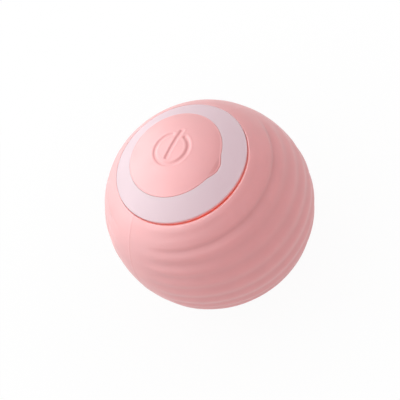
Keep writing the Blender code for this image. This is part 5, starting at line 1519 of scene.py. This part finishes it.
def make_frame():
    """The moulded frame: disc, motor cradle, gearbox posts, battery arms and the board's stand-offs."""
    lo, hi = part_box("chassis")
    joined = (FRAME_TOP + FRAME_BOTTOM) / 2
    reach = height_on_sphere(SHELL_INSIDE, FRAME_TOP) - 0.8 * MM
    disc = edge_rings(circle(reach, 128), FRAME_BOTTOM, FRAME_TOP, 0.2 * MM)
    item = finish_mesh("frame_moulded", loft(disc), 30)
    cut(item, prism("cradle", flatted(7.3 * MM, 6.3 * MM), lo.z, joined), "UNION")
    board_screws = [middle(f"board_screw_{k}") for k in (1, 2)]
    posts = [middle(f"gearbox_post_{k}") for k in (1, 2)]
    cell_lo, cell_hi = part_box("battery")
    arm_x = cell_hi.x + 0.7 * MM
    arm_levels = [(FRAME_BOTTOM - 8.0 * MM, -0.1 * MM), (FRAME_BOTTOM - 7.8 * MM, 0), (joined, 0)]
    for side in (-1, 1):
        arm = finish_mesh("arm", loft(block_rings(0.8 * MM, 1.8 * MM, 0.15 * MM, arm_levels)), 30)
        cut(item, shifted(arm, arm_x, side * 2.5 * MM), "UNION")
    for x, y in posts:
        cut(item, post_tool("post", 1.4 * MM, lo.z, joined, x, y, 0.1 * MM), "UNION")
    for x, y in board_screws:
        cut(item, post_tool("standoff", 1.4 * MM, joined, hi.z, x, y, 0.1 * MM), "UNION")
    cut(item, prism("pocket", flatted(6.3 * MM, 5.3 * MM), lo.z - OVERSHOOT, FRAME_BOTTOM))
    under, over = FRAME_BOTTOM - OVERSHOOT, hi.z + OVERSHOOT
    holes = [(x, y, SCREW_BORE, under, over) for x, y in board_screws]
    holes += [(x, y, SCREW_BORE, lo.z - OVERSHOOT, lo.z + 1.85 * MM) for x, y in posts]
    holes += [(0, side * 3.2 * MM, 1.2 * MM, under, over) for side in (-1, 1)]
    holes += [(cell_lo.x / 2 + cell_hi.x / 2, side * 4.0 * MM, 0.7 * MM, under, over) for side in (-1, 1)]
    for k in (1, 2, 3):
        x, y = middle(f"chassis_screw_{k}")
        holes += [(x, y, SCREW_BORE, under, over), (x, y, 1.35 * MM, under, FRAME_BOTTOM + 0.55 * MM)]
    for x, y, radius, bottom, top in holes:
        cut(item, post_tool("hole", radius, bottom, top, x, y))
    place(smooth(item, 30), "ball", "white_abs", "chassis")


# ---------------------------------------------------------------- carried solids

def dress_solids():
    """Gives every solid that still shows the finish of its slot in the record."""
    for entry in frame["record"]["subparts"]:
        node = frame["nodes"][entry["node"]]
        for holder in node.material_slots:
            holder.material = finishes[entry["material_slot"]]


# ---------------------------------------------------------------- stage

VIEW_FROM = Vector((0.5117, -0.3515, 0.7840))
VIEW_UP = Vector((-0.2133, 0.8318, 0.5125))
VIEW_RIGHT = Vector((0.8320, 0.4291, -0.3510))
CAMERA_DISTANCE = 0.258
CAMERA_LENS = 112.5
CAMERA_SENSOR = 36
CAMERA_NEAR = 0.01
AIM_RIGHT = -1.98 * MM
AIM_UP = 0.906 * MM
FLOOR_RADIUS = 1.5
FLOOR_GAP = 0.00001


def seen_directly(tree):
    """One for rays that the camera sends straight, by a mirror or through a clear piece, and else zero."""
    ray = add_node(tree, "ShaderNodeLightPath").outputs
    seen = calc(tree, "MAXIMUM", ray["Is Camera Ray"], ray["Is Glossy Ray"])
    return calc(tree, "MAXIMUM", seen, ray["Is Transmission Ray"])


def make_stage_materials():
    """A pale floor that the camera sees as white, with some of its real shade kept near the ball."""
    material = bpy.data.materials.new("pale studio floor")
    tree = bare_tree(material)
    where = add_node(tree, "ShaderNodeTexCoord").outputs["Object"]
    away = vector_calc(tree, "LENGTH", where).outputs["Value"]
    shade = soft_ramp(tree, away, 0.03, 0.085, 0.94, 1.0)
    share = calc(tree, "MULTIPLY", seen_directly(tree), shade)
    matt = add_node(tree, "ShaderNodeBsdfDiffuse", links={"Color": (*linear("#F4F3F2"), 1), "Roughness": 0.6})
    glow = add_node(tree, "ShaderNodeEmission", links={"Color": (1, 1, 1, 1), "Strength": 1.0})
    mixed = add_node(tree, "ShaderNodeMixShader", links={0: share, 1: matt, 2: glow})
    end_finish(tree, mixed)
    return material


def add_softbox(name, towards, distance, size, power, gloss_only=False):
    """A square lamp that faces the ball. One for gloss alone lays a broad soft highlight and no shade."""
    lamp = bpy.data.lights.new(name, "AREA")
    lamp.shape = "SQUARE"
    lamp.size = size
    lamp.energy = power
    item = new_object(name, lamp)
    towards = towards.normalized()
    item.location = towards * distance
    item.rotation_euler = towards.to_track_quat("Z", "Y").to_euler()
    item.visible_diffuse = not gloss_only


def make_stage():
    """The floor under the ball, its three lamps and the even white surroundings."""
    floor_z = -BALL_RADIUS - FLOOR_GAP
    shape = bmesh.new()
    bmesh.ops.create_circle(shape, cap_ends=True, segments=96, radius=FLOOR_RADIUS)
    bmesh.ops.translate(shape, verts=shape.verts, vec=(0, 0, floor_z))
    mesh = bpy.data.meshes.new("floor")
    shape.to_mesh(mesh)
    shape.free()
    mesh.materials.append(make_stage_materials())
    new_object("floor", mesh)

    right, up, out = VIEW_RIGHT, VIEW_UP, VIEW_FROM
    add_softbox("key softbox", -0.75 * right + 0.55 * up + 0.40 * out, 0.55, 0.5, 0.6)
    add_softbox("fill softbox", 0.85 * right - 0.15 * up + 0.30 * out, 0.60, 0.6, 0.15)
    add_softbox("highlight softbox", -0.85 * right + 0.26 * up + 0.22 * out, 0.60, 1.5, 55.0, gloss_only=True)

    world = bpy.data.worlds.new("studio")
    tree = bare_tree(world)
    ambient = add_node(tree, "ShaderNodeBackground", links={"Color": (1, 1, 1, 1), "Strength": 0.82})
    white = add_node(tree, "ShaderNodeBackground", links={"Color": (1, 1, 1, 1), "Strength": 1.0})
    mixed = add_node(tree, "ShaderNodeMixShader", links={0: seen_directly(tree), 1: ambient, 2: white})
    add_node(tree, "ShaderNodeOutputWorld", links={"Surface": mixed})
    bpy.context.scene.world = world
    bpy.context.scene.view_settings.view_transform = "Standard"


def make_camera():
    """The photograph's view: its direction, distance and framing were measured on the ball and its rings."""
    lens = bpy.data.cameras.new("camera")
    lens.lens = CAMERA_LENS
    lens.sensor_width = CAMERA_SENSOR
    lens.clip_start = CAMERA_NEAR
    camera = new_object("camera", lens)
    location = CAMERA_DISTANCE * VIEW_FROM
    aim = AIM_RIGHT * VIEW_RIGHT + AIM_UP * VIEW_UP
    back = (location - aim).normalized()
    side = VIEW_UP.cross(back).normalized()
    above = back.cross(side)
    turn = Matrix((side, above, back)).transposed().to_4x4()
    camera.matrix_world = Matrix.Translation(location) @ turn
    bpy.context.scene.camera = camera


# ---------------------------------------------------------------- operators and panel

class CATBALL_OT_finishes(bpy.types.Operator):
    """Makes the materials of every piece"""
    bl_idname = "catball.finishes"
    bl_label = "Finishes"

    def execute(self, context):
        make_finishes(context.scene.cat_ball_colours)
        dress_solids()
        return {"FINISHED"}


class CATBALL_OT_sleeve(bpy.types.Operator):
    """Makes the ridged silicone sleeve with its rounded lip and parting line"""
    bl_idname = "catball.sleeve"
    bl_label = "Silicone sleeve"

    def execute(self, context):
        make_sleeve(context.scene.cat_ball_sizes)
        return {"FINISHED"}


class CATBALL_OT_cap(bpy.types.Operator):
    """Makes the silicone button cap with its engraved symbol and nail lip"""
    bl_idname = "catball.cap"
    bl_label = "Button cap"

    def execute(self, context):
        make_cap(context.scene.cat_ball_sizes)
        return {"FINISHED"}


class CATBALL_OT_ring(bpy.types.Operator):
    """Makes the milky light ring round the cap"""
    bl_idname = "catball.ring"
    bl_label = "Light ring"

    def execute(self, context):
        make_ring(context.scene.cat_ball_sizes)
        return {"FINISHED"}


class CATBALL_OT_strap(bpy.types.Operator):
    """Makes the strap that keeps the opened cap on the ball"""
    bl_idname = "catball.strap"
    bl_label = "Cap strap"

    def execute(self, context):
        make_strap()
        return {"FINISHED"}


class CATBALL_OT_deck(bpy.types.Operator):
    """Makes the plate under the cap and the switch stem that stands in it"""
    bl_idname = "catball.deck"
    bl_label = "Deck and switch stem"

    def execute(self, context):
        make_deck()
        make_stem()
        return {"FINISHED"}


class CATBALL_OT_socket(bpy.types.Operator):
    """Makes the charging socket with its tongue and contacts"""
    bl_idname = "catball.socket"
    bl_label = "Charging socket"

    def execute(self, context):
        make_socket()
        return {"FINISHED"}


class CATBALL_OT_screws(bpy.types.Operator):
    """Makes every screw with its thread and cross recess"""
    bl_idname = "catball.screws"
    bl_label = "Screws"

    def execute(self, context):
        make_screws()
        return {"FINISHED"}


class CATBALL_OT_board_parts(bpy.types.Operator):
    """Makes the chips, lamps and knock sensor on the board"""
    bl_idname = "catball.board_parts"
    bl_label = "Board parts"

    def execute(self, context):
        make_board_parts()
        return {"FINISHED"}


class CATBALL_OT_drive(bpy.types.Operator):
    """Makes the gears, the motor's can and the battery"""
    bl_idname = "catball.drive"
    bl_label = "Gears, motor and battery"

    def execute(self, context):
        make_gears()
        make_motor()
        make_battery()
        return {"FINISHED"}


class CATBALL_OT_metalwork(bpy.types.Operator):
    """Makes the shafts, posts, bush, clip, plates and board, the push switch and the cast weight"""
    bl_idname = "catball.metalwork"
    bl_label = "Shafts, plates, switch and weight"

    def execute(self, context):
        make_shafts()
        make_plates()
        make_switch()
        make_weight()
        return {"FINISHED"}


class CATBALL_OT_frame(bpy.types.Operator):
    """Makes the two halves of the hard ball and the moulded frame inside"""
    bl_idname = "catball.frame"
    bl_label = "Hard ball and frame"

    def execute(self, context):
        make_shells()
        make_frame()
        return {"FINISHED"}


class CATBALL_OT_stage(bpy.types.Operator):
    """Makes the floor, the lamps and the camera"""
    bl_idname = "catball.stage"
    bl_label = "Stage"

    def execute(self, context):
        make_stage()
        make_camera()
        return {"FINISHED"}


OPERATORS = (CATBALL_OT_stage, CATBALL_OT_finishes, CATBALL_OT_sleeve, CATBALL_OT_cap, CATBALL_OT_ring,
             CATBALL_OT_strap, CATBALL_OT_deck, CATBALL_OT_socket, CATBALL_OT_screws, CATBALL_OT_board_parts,
             CATBALL_OT_drive, CATBALL_OT_metalwork, CATBALL_OT_frame)


class CATBALL_PT_panel(bpy.types.Panel):
    """Lists the pieces of the cat ball, its sizes and its colours"""
    bl_idname = "CATBALL_PT_panel"
    bl_label = "Cat ball"
    bl_space_type = "VIEW_3D"
    bl_region_type = "UI"
    bl_category = "Cat ball"

    def draw(self, context):
        for settings in (context.scene.cat_ball_sizes, context.scene.cat_ball_colours):
            column = self.layout.column(align=True)
            for name in settings.bl_rna.properties.keys():
                if name not in ("rna_type", "name"):
                    column.prop(settings, name)
        column = self.layout.column(align=True)
        for operator in OPERATORS:
            column.operator(operator.bl_idname)


CLASSES = (BallSizes, BallColours, *OPERATORS, CATBALL_PT_panel)


def register():
    for item in CLASSES:
        bpy.utils.register_class(item)
    bpy.types.Scene.cat_ball_sizes = bpy.props.PointerProperty(type=BallSizes)
    bpy.types.Scene.cat_ball_colours = bpy.props.PointerProperty(type=BallColours)


def unregister():
    del bpy.types.Scene.cat_ball_colours
    del bpy.types.Scene.cat_ball_sizes
    for item in reversed(CLASSES):
        bpy.utils.unregister_class(item)


def main():
    register()
    bpy.ops.catball.stage()
    bpy.ops.catball.finishes()
    bpy.ops.catball.sleeve()
    bpy.ops.catball.cap()
    bpy.ops.catball.ring()
    bpy.ops.catball.strap()
    bpy.ops.catball.deck()
    bpy.ops.catball.socket()
    bpy.ops.catball.screws()
    bpy.ops.catball.board_parts()
    bpy.ops.catball.drive()
    bpy.ops.catball.metalwork()
    bpy.ops.catball.frame()


if __name__ == "__main__":
    main()
